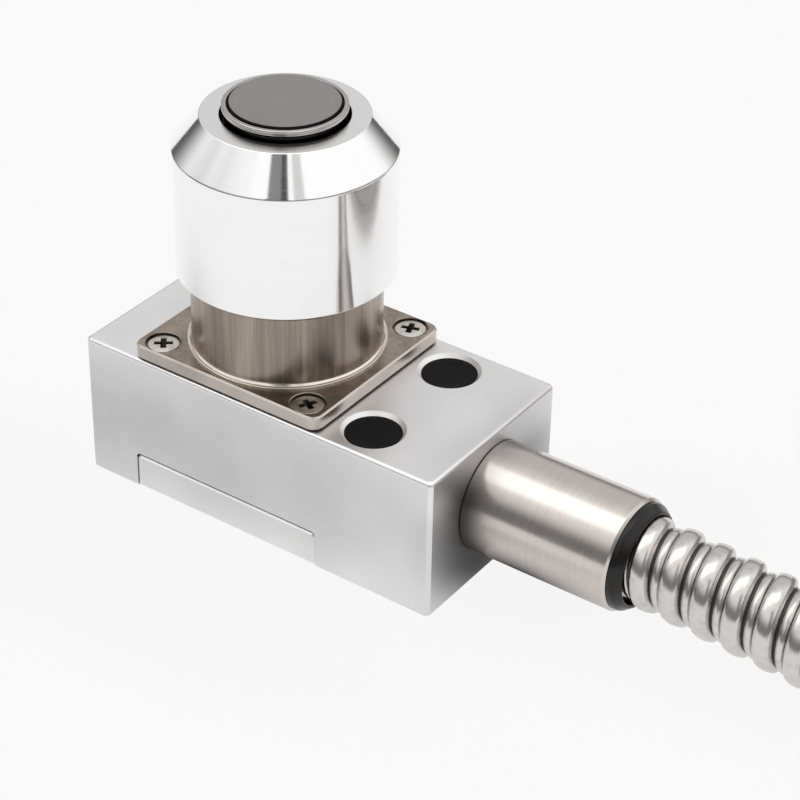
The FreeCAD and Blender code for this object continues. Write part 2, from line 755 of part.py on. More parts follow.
# Plunger: a sliding stem with the round head that carries the contact
def make_plunger():
    body = turned("plunger", [
        ("0", "stem_bottom"),
        ("stem_diameter / 2", "stem_bottom"),
        ("stem_diameter / 2", "head_under"),
        ("head_radius", "head_under"),
        ("head_radius", "lip_top"),
        ("pocket_radius", "lip_top"),
        ("pocket_radius", "contact_seat"),
        ("0", "contact_seat"),
    ])
    top = size("lip_top")
    inner = rim(size("pocket_radius"), top)
    outer = rim(size("head_radius"), top)
    finish_edges(body, "lip_edges", "Chamfer", "contact_lip / 3",
                 lambda edge: inner(edge) or outer(edge))
    slot = Drawing(body, "blade_slot", "XY_Plane", "stem_bottom")
    slot.rectangle("-blade_thickness / 2 - fit_play", "-stem_diameter",
                   "blade_thickness / 2 + fit_play", "stem_diameter")
    pocket(body, "slot", slot, "blade_grip", upward=True)
    return place(body, x="sensor_x")


# Carbide contact and the rubber ring round it
def make_contact_disc():
    body = turned("contact_disc", [
        ("0", "contact_seat"),
        ("contact_diameter / 2", "contact_seat"),
        ("contact_diameter / 2", "contact_top"),
        ("0", "contact_top"),
    ])
    finish_edges(body, "contact_edge_break", "Chamfer", "contact_edge",
                 rim(size("contact_diameter") / 2, size("contact_top")))
    return place(body, x="sensor_x")


def make_contact_ring():
    inner = "contact_diameter / 2 + fit_play / 2"
    outer = "pocket_radius - fit_play / 2"
    return place(turned("contact_ring", [
        (inner, "contact_seat"),
        (outer, "contact_seat"),
        (outer, "lip_top - contact_ring_drop"),
        (inner, "lip_top - contact_ring_drop"),
    ]), x="sensor_x")


# Collar on the stem: it stops against the bush and takes the spring's push
def make_stop_collar():
    bore = "stem_diameter / 2 + stem_play"
    return place(turned("stop_collar", [
        (bore, "collar_bottom"),
        ("collar_diameter / 2", "collar_bottom"),
        ("collar_diameter / 2", "collar_top"),
        (bore, "collar_top"),
    ]), x="sensor_x")


# Coil spring between the lower guide and the collar, six-sided in section
def make_return_spring():
    rise = "(collar_bottom - guide_top - spring_wire - 2 * fit_play)"
    helix = doc.addObject("Part::Helix", "spring_path")
    helix.SegmentLength = 1
    helix.setExpression("Radius", bound("spring_diameter / 2"))
    helix.setExpression("Height", bound(rise))
    helix.setExpression("Pitch", bound(rise + " / spring_turns"))
    wire = doc.addObject("Part::RegularPolygon", "spring_wire_section")
    wire.Polygon = 6
    wire.setExpression("Circumradius", bound("spring_wire / 2"))
    wire.Placement.Rotation = FreeCAD.Rotation(FreeCAD.Vector(1, 0, 0), 90)
    wire.setExpression("Placement.Base.x", bound("spring_diameter / 2"))
    spring = doc.addObject("Part::Sweep", "return_spring")
    spring.Label = "return_spring"
    spring.Sections = [wire]
    spring.Spine = (helix, [])
    spring.Solid = True
    spring.Frenet = True
    return place(spring, x="sensor_x", z="guide_top + spring_wire / 2 + fit_play")


# Corrugated rubber boot between the barrel's crown and the plunger's head:
# each point is a share of the way out from the stem to the neck, and a height
BOOT_SHARES = [
    (0.995, "neck_top"),
    (0.995, "neck_top + boot_bead"),
    (0.72, "neck_top + boot_bead"),
    (0.60, "boot_crest"),
    (0.46, "boot_crest"),
    (0.31, "boot_valley + boot_wall"),
    (0.20, "head_under - boot_gap"),
    (0.0, "head_under - boot_gap"),
    (0.0, "head_under - boot_gap - 2 * boot_wall"),
    (0.11, "head_under - boot_gap - 2 * boot_wall"),
    (0.23, "boot_valley"),
    (0.39, "boot_valley"),
    (0.53, "boot_crest - boot_wall"),
    (0.66, "neck_top"),
]


def make_rubber_boot():
    start = "stem_diameter / 2 + boot_gap"
    span = "(neck_diameter / 2 - stem_diameter / 2 - boot_gap)"
    corners = []
    for share, height in BOOT_SHARES:
        corners.append(("%s + %s * %g" % (start, span, share), height))
    return place(turned("rubber_boot", corners), x="sensor_x")


# Spacer ring that the cap presses onto the boot's outer bead
def make_boot_clamp():
    outer = "neck_diameter / 2 - fit_play"
    inner = outer + " - boot_clamp_width"
    return place(turned("boot_clamp", [
        (inner, "neck_top + boot_bead"),
        (outer, "neck_top + boot_bead"),
        (outer, "cap_ceiling"),
        (inner, "cap_ceiling"),
    ]), x="sensor_x")


# Shutter blade in the stem's slot, and the light barrier that it enters
def make_shutter_blade():
    body = new_body("shutter_blade")
    section = Drawing(body, "blade_section", "XY_Plane", "blade_tip")
    section.rectangle("-blade_thickness / 2", "-blade_width / 2",
                      "blade_thickness / 2", "blade_width / 2")
    pad(body, "blade", section, "blade_top - blade_tip")
    return place(body, x="sensor_x")


def make_photo_interrupter():
    body = new_body("photo_interrupter")
    half = "interrupter_length / 2"
    gap = "interrupter_slot / 2"
    section = Drawing(body, "interrupter_section", "XZ_Plane")
    section.polygon([
        ("-" + half, "board_top"),
        (half, "board_top"),
        (half, "interrupter_top"),
        (gap, "interrupter_top"),
        (gap, "slot_floor"),
        ("-" + gap, "slot_floor"),
        ("-" + gap, "interrupter_top"),
        ("-" + half, "interrupter_top"),
    ])
    pad(body, "interrupter", section, "interrupter_width", both_ways=True)
    return place(body, x="sensor_x")


# Round sensor board on the cover's posts, with its terminal block
def make_sensor_board():
    body = new_body("sensor_board")
    outline = Drawing(body, "board_outline", "XY_Plane", "board_bottom")
    outline.circle("0", "0", "board_radius")
    outline.circle("-post_offset", "post_offset", "board_screw_shank / 2 + fit_play")
    outline.circle("post_offset", "-post_offset", "board_screw_shank / 2 + fit_play")
    pad(body, "board", outline, "board_thickness")
    return place(body, x="sensor_x")


def make_terminal_block():
    body = new_body("terminal_block")
    near = "interrupter_length / 2 + terminal_gap"
    low = "terminal_shift - terminal_width / 2"
    outline = Drawing(body, "terminal_outline", "XY_Plane", "board_top")
    outline.rectangle(near, low, near + " + terminal_length", "terminal_shift + terminal_width / 2")
    pad(body, "terminal", outline, "terminal_height")
    return place(body, x="sensor_x")


# Four lead wires from the terminal block into the cable
WIRE_COUNT = 4


def make_lead_wires():
    start_x = size("sensor_x") + size("interrupter_length") / 2
    start_x += size("terminal_gap") + size("terminal_length")
    start_z = size("board_top") + size("terminal_height") / 2
    step = size("terminal_width") / WIRE_COUNT
    core = size("cable_diameter") / 4
    room = size("housing_bore")
    between = Part.makeBox(size("cable_start_x") - start_x, 2 * room, room,
                           FreeCAD.Vector(start_x, -room, 0))
    wires = []
    for n in range(WIRE_COUNT):
        start_y = size("terminal_shift") + (n - (WIRE_COUNT - 1) / 2) * step
        turn = math.pi * (n + 0.5) / 2
        start = FreeCAD.Vector(start_x, start_y, start_z)
        end = FreeCAD.Vector(size("cable_start_x"), -core * math.cos(turn),
                             size("tube_height") + core * math.sin(turn))
        run = end - start
        spare = run.normalize() * size("wire_diameter")
        length = start.distanceToPoint(end) + 2 * spare.Length
        wire = Part.makeCylinder(size("wire_diameter") / 2, length, start - spare, run)
        wires.append(wire.common(between))
    group = doc.addObject("Part::Feature", "lead_wires")
    group.Label = "lead_wires"
    group.Shape = Part.makeCompound(wires)
    return group


# Signal cable from the wiring chamber through the tube, and its rubber seal
def make_signal_cable():
    cable = doc.addObject("Part::Cylinder", "signal_cable")
    cable.Label = "signal_cable"
    cable.Placement.Rotation = FreeCAD.Rotation(FreeCAD.Vector(0, 1, 0), 90)
    cable.setExpression("Radius", bound("cable_diameter / 2"))
    cable.setExpression("Height", bound("tube_end - cable_start_x"))
    return place(cable, x="cable_start_x", z="tube_height")


def sleeve(name, inner, outer, start, end):
    """Plain sleeve about the tube's axis, from its half section."""
    body = turned(name, [(start, inner), (end, inner), (end, outer), (start, outer)], "H_Axis")
    return place(body, z="tube_height")


# Stainless cable tube screwed into the block's end face
def make_cable_tube():
    room = "cable_diameter / 2 + cable_room"
    body = turned("cable_tube", [
        ("spigot_end_x", room),
        ("tube_start + tube_floor", room),
        ("tube_start + tube_floor", "tube_bore_radius"),
        ("tube_end", "tube_bore_radius"),
        ("tube_end", "tube_diameter / 2 - tube_edge"),
        ("tube_end - tube_edge", "tube_diameter / 2"),
        ("tube_start + tube_foot_edge", "tube_diameter / 2"),
        ("tube_start", "tube_diameter / 2 - tube_foot_edge"),
        ("tube_start", "tube_spigot / 2"),
        ("spigot_end_x", "tube_spigot / 2"),
    ], "H_Axis")
    return place(body, z="tube_height")


# Black rubber ring round the conduit where it enters the tube
def make_conduit_ring():
    inner = "conduit_diameter / 2 + conduit_ring_play"
    body = sleeve("conduit_ring", inner, "conduit_ring / 2", "tube_end", "tube_end + conduit_ring_width")
    radius = size("conduit_ring") / 2
    finish_edges(body, "ring_edges", "Chamfer", "conduit_ring_edge",
                 lambda edge: isinstance(edge.Curve, Part.Circle) and close(edge.Curve.Radius, radius))
    return body


# Screws: one pattern of each kind, repeated as links and grouped in one sub-part
def countersunk_screw(name, reach):
    body = turned(name, [
        ("0", "0"),
        ("screw_head / 2", "0"),
        ("screw_shank / 2", "-(screw_head - screw_shank) / 2"),
        ("screw_shank / 2", "-" + reach),
        ("0", "-" + reach),
    ])
    cross = Drawing(body, name + "_cross", "XY_Plane")
    arm = "screw_cross / 2"
    slot = "screw_slot / 2"
    cross.polygon([
        (arm, "-" + slot), (arm, slot), (slot, slot), (slot, arm),
        ("-" + slot, arm), ("-" + slot, slot), ("-" + arm, slot), ("-" + arm, "-" + slot),
        ("-" + slot, "-" + slot), ("-" + slot, "-" + arm), (slot, "-" + arm), (slot, "-" + slot),
    ])
    pocket(body, name + "_recess", cross, "screw_slot_depth")
    return body


def board_screw():
    return turned("board_screw", [
        ("0", "board_screw_head_height"),
        ("board_screw_head / 4", "board_screw_head_height"),
        ("board_screw_head / 2", "board_screw_head_height / 2"),
        ("board_screw_head / 2", "0"),
        ("board_screw_shank / 2", "0"),
        ("board_screw_shank / 2", "-(board_thickness + post_height)"),
        ("0", "-(board_thickness + post_height)"),
    ])


def screw_group(name, pattern, places, height, turn=0):
    """Copies of one screw, each at its own place, as one sub-part."""
    copies = []
    for n, (x, y) in enumerate(places, start=1):
        copy = doc.addObject("App::Link", "%s_%d" % (name, n))
        copy.LinkedObject = pattern
        copy.Placement.Rotation = FreeCAD.Rotation(FreeCAD.Vector(1, 0, 0), turn)
        place(copy, *shift(x, y), z=height)
        copies.append(copy)
    group = doc.addObject("Part::Compound", name)
    group.Label = name
    group.Links = copies
    return group


# Conduit: a plain tube on straight runs joined by tangent arcs, then the outer form of its coil
def conduit_path(corners):
    """Wire through the route's runs, each corner rounded by an arc as large as its runs allow."""
    edges = []
    start = corners[0]
    for before, corner, after in zip(corners, corners[1:], corners[2:]):
        back = (before - corner).normalize()
        ahead = (after - corner).normalize()
        turn = math.pi - back.getAngle(ahead)
        shorter = min((corner - before).Length, (after - corner).Length)
        setback = 0.45 * shorter
        radius = setback / math.tan(turn / 2)
        print("conduit corner radius %.0f mm" % radius)
        enter = corner + back * setback
        leave = corner + ahead * setback
        middle = (back + ahead).normalize()
        height = radius / math.cos(turn / 2) - radius
        edges.append(Part.LineSegment(start, enter).toShape())
        edges.append(Part.Arc(enter, corner + middle * height, leave).toShape())
        start = leave
    edges.append(Part.LineSegment(start, corners[-1]).toShape())
    return Part.Wire(edges)


def make_conduit():
    exit_x = size("tube_end")
    exit_z = size("tube_height")
    corners = [FreeCAD.Vector(exit_x + x, y, exit_z - drop) for x, y, drop in CONDUIT_ROUTE]
    path = conduit_path(corners)
    radius = size("conduit_diameter") / 2
    circle = Part.Circle(corners[0], corners[1] - corners[0], radius)
    profile = Part.Wire([circle.toShape()])
    tube = doc.addObject("Part::Feature", "conduit")
    tube.Label = "conduit"
    tube.Shape = path.makePipeShell([profile], True, True)
    expected = math.pi * radius * radius * path.Length
    print("conduit volume %.1f against %.1f" % (tube.Shape.Volume, expected))
    return tube


def coil_ring(name, inner, outer, base, height, start=0, sweep=360):
    """Flat ring, or a sector of one, about the coil's centre."""
    pieces = []
    for part, radius in (("outer", outer), ("inner", inner)):
        piece = doc.addObject("Part::Cylinder", name + "_" + part)
        piece.Radius = radius
        piece.Height = height
        turn = FreeCAD.Rotation(FreeCAD.Vector(0, 0, 1), start)
        piece.Placement = FreeCAD.Placement(FreeCAD.Vector(*COIL_CENTRE, base), turn)
        pieces.append(piece)
    pieces[0].Angle = sweep
    ring = doc.addObject("Part::Cut", name)
    ring.Base, ring.Tool = pieces
    return ring


COIL_END_ANGLE = 360 * (COIL_TURNS - COIL_FLOOR_TURNS)
COIL_END_RADIUS = COIL_FIRST_RADIUS - COIL_STEP * (COIL_TURNS - 1)


def make_conduit_coil():
    depth = size("conduit_diameter")
    inner = COIL_FIRST_RADIUS - COIL_STEP * COIL_FLOOR_TURNS - depth / 2
    floor = coil_ring("coil_floor", inner, COIL_FIRST_RADIUS + depth / 2, 0, depth)
    top = coil_ring("coil_top", inner, COIL_FIRST_RADIUS, depth, depth + COIL_LAYER_GAP,
                    COIL_RISE_ANGLE, COIL_END_ANGLE - COIL_RISE_ANGLE)
    coil = doc.addObject("Part::Fuse", "conduit_coil")
    coil.Label = "conduit_coil"
    coil.Base = floor
    coil.Tool = top
    return coil


def on_coil_end(body):
    """Set a piece that was turned about its local X axis at the end of the coil."""
    angle = math.radians(COIL_END_ANGLE)
    end = FreeCAD.Vector(COIL_CENTRE[0] + COIL_END_RADIUS * math.cos(angle),
                         COIL_CENTRE[1] + COIL_END_RADIUS * math.sin(angle),
                         1.5 * size("conduit_diameter") + COIL_LAYER_GAP)
    turn = FreeCAD.Rotation(FreeCAD.Vector(0, 0, 1), COIL_END_ANGLE + 90)
    body.Placement = FreeCAD.Placement(end, turn)
    return body


# Round connector at the conduit's far end, on top of the coil
def make_connector_body():
    body = turned("connector_body", [
        ("0", "0"),
        ("0", "connector_diameter / 2 - connector_grip"),
        ("connector_grip", "connector_diameter / 2"),
        ("connector_length", "connector_diameter / 2"),
        ("connector_length", "connector_neck / 2"),
        ("connector_neck_end", "connector_neck / 2"),
        ("connector_neck_end", "connector_insert / 2 + fit_play"),
        ("connector_recess", "connector_insert / 2 + fit_play"),
        ("connector_recess", "0"),
    ], "H_Axis")
    return on_coil_end(body)


def make_connector_nut():
    bore = "connector_neck / 2 + fit_play"
    body = turned("connector_nut", [
        ("connector_nut_start", bore),
        ("connector_nut_end", bore),
        ("connector_nut_end", "connector_diameter / 2 - connector_grip"),
        ("connector_nut_end - connector_grip", "connector_diameter / 2"),
        ("connector_nut_start + connector_grip", "connector_diameter / 2"),
        ("connector_nut_start", "connector_diameter / 2 - connector_grip"),
    ], "H_Axis")
    groove = Drawing(body, "grip_groove", "YZ_Plane", "connector_nut_start")
    groove.rectangle("connector_diameter / 2 - connector_grip / 2", "-nut_groove / 2",
                     "connector_diameter / 2 + connector_grip", "nut_groove / 2")
    cut = pocket(body, "grip_cut", groove, "connector_nut_length", upward=True)
    pattern = body.newObject("PartDesign::PolarPattern", "grip_cuts")
    pattern.Originals = [cut]
    pattern.Axis = (groove.sketch, ["N_Axis"])
    pattern.Angle = 360
    pattern.Occurrences = 12
    body.Tip = pattern
    doc.recompute()
    return on_coil_end(body)


def make_connector_insert():
    body = turned("connector_insert", [
        ("connector_recess", "0"),
        ("connector_recess", "connector_insert / 2"),
        ("connector_insert_end", "connector_insert / 2"),
        ("connector_insert_end", "0"),
    ], "H_Axis")
    return on_coil_end(body)


def make_connector_pins():
    body = new_body("connector_pins")
    circles = Drawing(body, "pin_circles", "YZ_Plane", "connector_insert_end")
    for sign in ("-", ""):
        circles.circle(sign + "pin_circle / 2", "0", "pin_diameter / 2")
        circles.circle("0", sign + "pin_circle / 2", "pin_diameter / 2")
    pad(body, "pins", circles, "pin_length")
    return on_coil_end(body)


flange_spans = ("flange_span_x", "flange_span_y")
cover_spans = ("cover_span_x", "cover_span_y")
long_screw = countersunk_screw("long_screw", "cover_screw_reach")
short_screw = countersunk_screw("short_screw", "flange_screw_reach")
small_screw = board_screw()

subparts = [
    make_base_block(),
    make_hole_plug("hole_plug_near", "-"),
    make_hole_plug("hole_plug_far", ""),
    make_bottom_cover(),
    make_flat_seal("cover_gasket", "channel_length - 2 * channel_corner",
                   "block_width - 2 * seal_inset", "cover_seal", cover_spans, "cover_top"),
    screw_group("cover_screws", long_screw, corner_points(*cover_spans), "screw_sink", turn=180),
    make_flat_seal("flange_gasket", "flange_length - 2 * seal_inset",
                   "flange_width - 2 * seal_inset", "flange_seal", flange_spans, "block_height",
                   "flange_corner - seal_inset"),
    make_sensor_housing(),
    make_seal_ring("spigot_seal_ring", "spigot_diameter / 2", "seal_cord", "spigot_ring_level"),
    screw_group("flange_screws", short_screw, corner_points(*flange_spans), "flange_top - screw_sink"),
    make_protective_cap(),
    make_seal_ring("cap_seal_ring", "neck_diameter / 2", "cap_seal_cord", "cap_ring_level"),
    *make_guides(),
    make_guide_circlip(),
    make_return_spring(),
    make_rubber_boot(),
    make_boot_clamp(),
    make_plunger(),
    make_contact_disc(),
    make_contact_ring(),
    make_stop_collar(),
    make_shutter_blade(),
    make_sensor_board(),
    make_photo_interrupter(),
    screw_group("board_screws", small_screw,
                [("-post_offset", "post_offset"), ("post_offset", "-post_offset")], "board_top"),
    make_terminal_block(),
    make_lead_wires(),
    make_signal_cable(),
    sleeve("cable_seal", "cable_diameter / 2 + fit_play", "cable_bore / 2 - fit_play",
           "spigot_end_x - fit_play - cable_seal_length", "spigot_end_x - fit_play"),
    sleeve("tube_washer", "tube_spigot / 2 + fit_play", "tube_diameter / 2 - tube_foot_edge",
           "mount_inset", "tube_start"),
    make_cable_tube(),
    make_conduit_ring(),
    sleeve("conduit_ferrule", "cable_diameter / 2 + cable_room", "tube_bore_radius - fit_play",
           "tube_end - ferrule_length", "tube_end"),
    make_conduit(),
    make_conduit_coil(),
    make_connector_body(),
    make_connector_nut(),
    make_connector_insert(),
    make_connector_pins(),
]
doc.recompute()

# Every object has to be sound, and every cut has to take material away
CUTTING = ("Pocket", "Groove", "Hole", "Chamfer", "Fillet")
for item in doc.Objects:
    if "Invalid" in item.State or "Error" in item.State:
        raise RuntimeError("%s is %s" % (item.Name, item.State))
    if item.TypeId.startswith("PartDesign::") and item.TypeId.endswith(CUTTING):
        before = item.BaseFeature.Shape.Volume
        if item.Shape.Volume == before:
            raise RuntimeError(item.Name + " changed nothing")
        if not item.TypeId.endswith("Fillet") and item.Shape.Volume > before:
            raise RuntimeError(item.Name + " added material")

os.makedirs("parts", exist_ok=True)
for item in subparts:
    shape = item.Shape
    if shape.isNull() or not shape.isValid() or not shape.Solids:
        raise RuntimeError(item.Label + " has no sound shape")
    print("%-18s %2d solids %10.1f mm3" % (item.Label, len(shape.Solids), shape.Volume))
for item in subparts:
    item.Shape.exportStep("parts/%s.step" % item.Label)
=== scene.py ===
import math

import bmesh
import bpy
from mathutils import Matrix, Vector


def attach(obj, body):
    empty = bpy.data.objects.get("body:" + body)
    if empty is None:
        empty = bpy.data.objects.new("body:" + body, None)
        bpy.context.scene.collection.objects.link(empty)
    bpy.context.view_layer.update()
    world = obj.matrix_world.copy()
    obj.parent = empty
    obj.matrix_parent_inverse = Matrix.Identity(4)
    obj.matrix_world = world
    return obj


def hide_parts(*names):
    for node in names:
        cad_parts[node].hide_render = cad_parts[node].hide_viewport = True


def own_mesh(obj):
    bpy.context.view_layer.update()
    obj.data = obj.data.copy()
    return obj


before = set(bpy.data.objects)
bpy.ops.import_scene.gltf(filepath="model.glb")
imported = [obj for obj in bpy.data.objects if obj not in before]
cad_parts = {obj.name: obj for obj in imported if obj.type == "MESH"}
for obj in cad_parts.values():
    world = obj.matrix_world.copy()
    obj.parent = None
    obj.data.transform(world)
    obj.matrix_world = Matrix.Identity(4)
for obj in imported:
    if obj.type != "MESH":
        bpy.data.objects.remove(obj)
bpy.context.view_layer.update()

# Sizes of the tool setter, in millimetres
MM = 0.001
SENSOR_X = -28.0
BLOCK_NEAR_X = -60.2
BLOCK_END_X = 17.8
BLOCK_WIDTH = 39.0
BLOCK_HEIGHT = 29.0
BLOCK_CHAMFER = 0.7
CHANNEL_LENGTH = 41.8
CHANNEL_HEIGHT = 7.7
CHANNEL_CORNER = 0.9
MOUNT_SPACING = 23.5
MOUNT_RADIUS = 3.3
COUNTERBORE_RADIUS = 5.2
COUNTERBORE_FLOOR = 20.0
COUNTERBORE_RIM = 0.7
PLUG_TOP = 28.2
PLUG_BOTTOM = 25.6
FLANGE_LENGTH = 41.8
FLANGE_WIDTH = 38.4
FLANGE_SEAT = 29.4
FLANGE_TOP = 32.0
FLANGE_CORNER = 2.1
FLANGE_EDGE = 0.3
FLANGE_SCREWS = (33.0, 31.2)
COVER_SCREWS = (34.0, 29.0)
SCREW_SINK = 0.2
TUBE_HEIGHT = 15.8
TUBE_START = 18.2
TUBE_END = 47.5
TUBE_RADIUS = 10.5
# Reach of the painted shade round the tube's foot: along the tube and out from it
FOOT_SHADE_LENGTH = 5.0
FOOT_SHADE_WIDTH = 8.0
NUT_LANDS = 12

# Points on the sensor's upright axis and on the tube's lying one
AXIS = (SENSOR_X, 0.0, 0.0)
TUBE_AXIS = (0.0, 0.0, TUBE_HEIGHT)

# Conduit: points of its route, its diameter and pitch, its put-away coil
CONDUIT_ROUTE = [
    (47.5, 0.0, 15.8), (53.5, 0.0, 15.8), (65.3, 0.1, 15.03), (88.0, 0.6, 12.99), (109.0, 0.1, 8.6),
]
CONDUIT_DIAMETER = 16.5
CONDUIT_PITCH = 5.95
COIL_CENTRE = (151.0, 97.0)
COIL_RADIUS = 97.0
COIL_STEP = 17.2
COIL_FLOOR = 8.25
COIL_LIFT = 17.0
COIL_START = -90.0
COIL_FLOOR_END = 360.0
COIL_RISE = 110.0
COIL_END = 673.2
COIL_POINT_STEP = 24.0

# Studio: the floor in millimetres, then the eye's place in metres and the way it looks
FLOOR_LEVEL = -0.4
FLOOR_REACH = 4000.0
EYE = (0.20834, -0.30289, 0.27757)
SIGHT = (-0.4734, 0.6796, -0.5604)
UPWARD = (-0.3365, 0.4484, 0.8281)
LENS = 111.86
LEVEL_SIGHT = math.hypot(SIGHT[0], SIGHT[1])

# Light: strength of the paper as the eye sees it and as the metal mirrors it, and of the sky
SEEN_PAPER = 0.95
MIRRORED_PAPER = 1.06
SEEN_GLOW = 0.95
MIRRORED_GLOW = 0.68
TENT_LIGHT = 1.13
BACK_LIGHT = 0.74
PANEL_LIGHT = 2.1

# Limits of the sky's bright panel towards the eye, to its side and upwards, with soft edges
PANEL_FRONT = (-0.34, 0.12, 0.03)
PANEL_SIDE = (-0.73, 0.3, 0.04)
PANEL_UP = (0.48, 0.64)

# Where the sky brightens from its back to its front, and the height that its dark strips keep to
SKY_BACK = (-0.8, -0.3)
SKY_HIGH = (0.4, 0.88, 0.03)

# Dark upright strips of the sky: depth, then start, end and softness in degrees from the eye
SKY_STRIPS = [(0.76, -19.0, 5.5, 1.5), (0.68, -3.0, 4.5, 1.5), (0.36, 12.0, 25.0, 2.0)]

# Painted shadows on the mirrored floor, as dim patches: middle and reach in millimetres, and depth
FLOOR_GLOOM = [
    ((24.0, 0.0), (14.0, 13.0), 0.95), ((36.0, 32.0), (18.0, 18.0), 0.42),
    ((-80.0, -40.0), (34.0, 28.0), 0.36), ((-27.0, -41.0), (52.0, 19.0), 0.44),
]


class Signal:
    """A value on a node sheet that plain expressions can reckon with."""

    def __init__(self, sheet, socket):
        self.sheet = sheet
        self.socket = socket

    def reckon(self, operation, *values):
        return self.sheet.add("ShaderNodeMath", {"operation": operation}, dict(enumerate(values)))

    def __add__(self, other):
        return self.reckon("ADD", self, other)

    __radd__ = __add__

    def __sub__(self, other):
        return self.reckon("SUBTRACT", self, other)

    def __rsub__(self, other):
        return self.reckon("SUBTRACT", other, self)

    def __mul__(self, other):
        return self.reckon("MULTIPLY", self, other)

    __rmul__ = __mul__

    def __truediv__(self, other):
        return self.reckon("DIVIDE", self, other)

    def __rtruediv__(self, other):
        return self.reckon("DIVIDE", other, self)

    def __gt__(self, other):
        return self.reckon("GREATER_THAN", self, other)

    def __lt__(self, other):
        return self.reckon("LESS_THAN", self, other)

    def floor(self):
        return self.reckon("FLOOR", self)

    def root(self):
        return self.reckon("SQRT", self)

    def exponent(self):
        return self.reckon("EXPONENT", self)

    def cosine(self):
        return self.reckon("COSINE", self)

    def sine(self):
        return self.reckon("SINE", self)

    def held(self, low, high):
        """The value kept between two limits."""
        return self.reckon("MINIMUM", self.reckon("MAXIMUM", self, low), high)


class Sheet:
    """A tree of nodes: a finish, the sky, or a form that follows a rule."""

    def __init__(self, tree):
        self.tree = tree

    def add(self, kind, settings=None, values=None, output=0):
        """Add a node: its settings first, then the values or links of its sockets."""
        node = self.tree.nodes.new(kind)
        for name, value in (settings or {}).items():
            setattr(node, name, value)
        for name, value in (values or {}).items():
            if isinstance(value, Signal):
                self.tree.links.new(value.socket, node.inputs[name])
            else:
                node.inputs[name].default_value = value
        return Signal(self, node.outputs[output]) if node.outputs else None

    def also(self, signal, output):
        """Another output of the node that a signal comes from."""
        return Signal(self, signal.socket.node.outputs[output])

    def parts(self, vector):
        """The three coordinates of a place."""
        split = self.add("ShaderNodeSeparateXYZ", {}, {0: vector})
        return [split, self.also(split, 1), self.also(split, 2)]

    def vector(self, operation, *values):
        return self.add("ShaderNodeVectorMath", {"operation": operation}, dict(enumerate(values)))

    def scaled(self, vector, size):
        values = {0: vector, "Scale": size}
        return self.add("ShaderNodeVectorMath", {"operation": "SCALE"}, values)

    def mix(self, share, first, second):
        """Blend two colours."""
        return self.add("ShaderNodeMix", {"data_type": "RGBA"}, {0: share, 6: first, 7: second}, 2)

    def noise(self, place, scale, detail=2.0, rough=0.5):
        values = {"Vector": place, "Scale": scale, "Detail": detail, "Roughness": rough}
        return self.add("ShaderNodeTexNoise", {}, values)

    def ramp(self, value, low, high, start=0.0, end=1.0):
        """Move a value from one range into another, softly at both ends."""
        values = {"Value": value, "From Min": low, "From Max": high, "To Min": start, "To Max": end}
        return self.add("ShaderNodeMapRange", {"interpolation_type": "SMOOTHSTEP"}, values)

    def band(self, value, low, high, soft):
        """One between two limits and nought outside them, with soft edges."""
        rising = self.ramp(value, low - soft, low + soft)
        return rising * (1 - self.ramp(value, high - soft, high + soft))

    def bump(self, height, depth, strength):
        """Relief with a depth in millimetres."""
        values = {"Height": height, "Distance": depth * MM, "Strength": strength}
        return self.add("ShaderNodeBump", {}, values)


def grey(level):
    return (level, level, level, 1.0)


def shades(colour, first, second):
    """Two shades of a colour, each a share of its brightness."""
    return [[min(1.0, part * share) for part in colour] + [1.0] for share in (first, second)]


# Finishes
def place_on(sheet):
    return sheet.add("ShaderNodeTexCoord", {}, {}, "Object")


def new_finish(name):
    """A new finish, its sheet of nodes and the place on the piece that they start from."""
    material = bpy.data.materials.new(name)
    material.use_nodes = True
    material.node_tree.nodes.clear()
    sheet = Sheet(material.node_tree)
    return material, sheet, place_on(sheet)


def close_finish(material, sheet, values):
    surface = sheet.add("ShaderNodeBsdfPrincipled", {}, values)
    sheet.add("ShaderNodeOutputMaterial", {}, {"Surface": surface})
    return material


def turning_place(sheet, middle, axis):
    """Distance from a turned piece's axis and reach along it, as one place."""
    moved = sheet.vector("SUBTRACT", place_on(sheet), [part * MM for part in middle])
    parts = sheet.parts(moved)
    along = parts.pop("XYZ".index(axis))
    radius = (parts[0] * parts[0] + parts[1] * parts[1]).root()
    return sheet.add("ShaderNodeCombineXYZ", {}, {0: radius, 1: along})


def painted_foot_shade(sheet, colour, depth):
    """Darken a colour round the tube's foot: painted shade in the corner between the tube and the
    block.
    """
    along, across, up = sheet.parts(place_on(sheet))
    along = (along - BLOCK_END_X * MM) / (FOOT_SHADE_LENGTH * MM)
    up = up - TUBE_HEIGHT * MM
    radius = (across * across + up * up).root()
    around = (radius - TUBE_RADIUS * MM) / (FOOT_SHADE_WIDTH * MM)
    near = (-1 * (along * along + around * around)).exponent()

    # Most of it lies in the lower half, and it thins out above the tube's middle
    lower = 1 - 0.6 * sheet.ramp(up, 3.0 * MM, 10.0 * MM)
    return sheet.mix(near * lower * depth, colour, grey(0.04))


def satin_anodised(name, colour, rough, grain=0.3, shade=0.0):
    """Fine blasted grain under a clear anodic layer."""
    material, sheet, place = new_finish(name)
    cloud = sheet.noise(place, 45.0, 3.0)
    fine = sheet.noise(place, 5200.0, 2.0, 0.6)
    tone = sheet.mix(sheet.ramp(cloud, 0.3, 0.7), *shades(colour, 0.94, 1.03))
    return close_finish(material, sheet, {
        "Base Color": painted_foot_shade(sheet, tone, shade) if shade else tone,
        "Metallic": 1.0,
        "Roughness": rough + (cloud - 0.5) * 0.06 + (fine - 0.5) * 0.1,
        "Normal": sheet.bump(fine, 0.02, grain),
    })


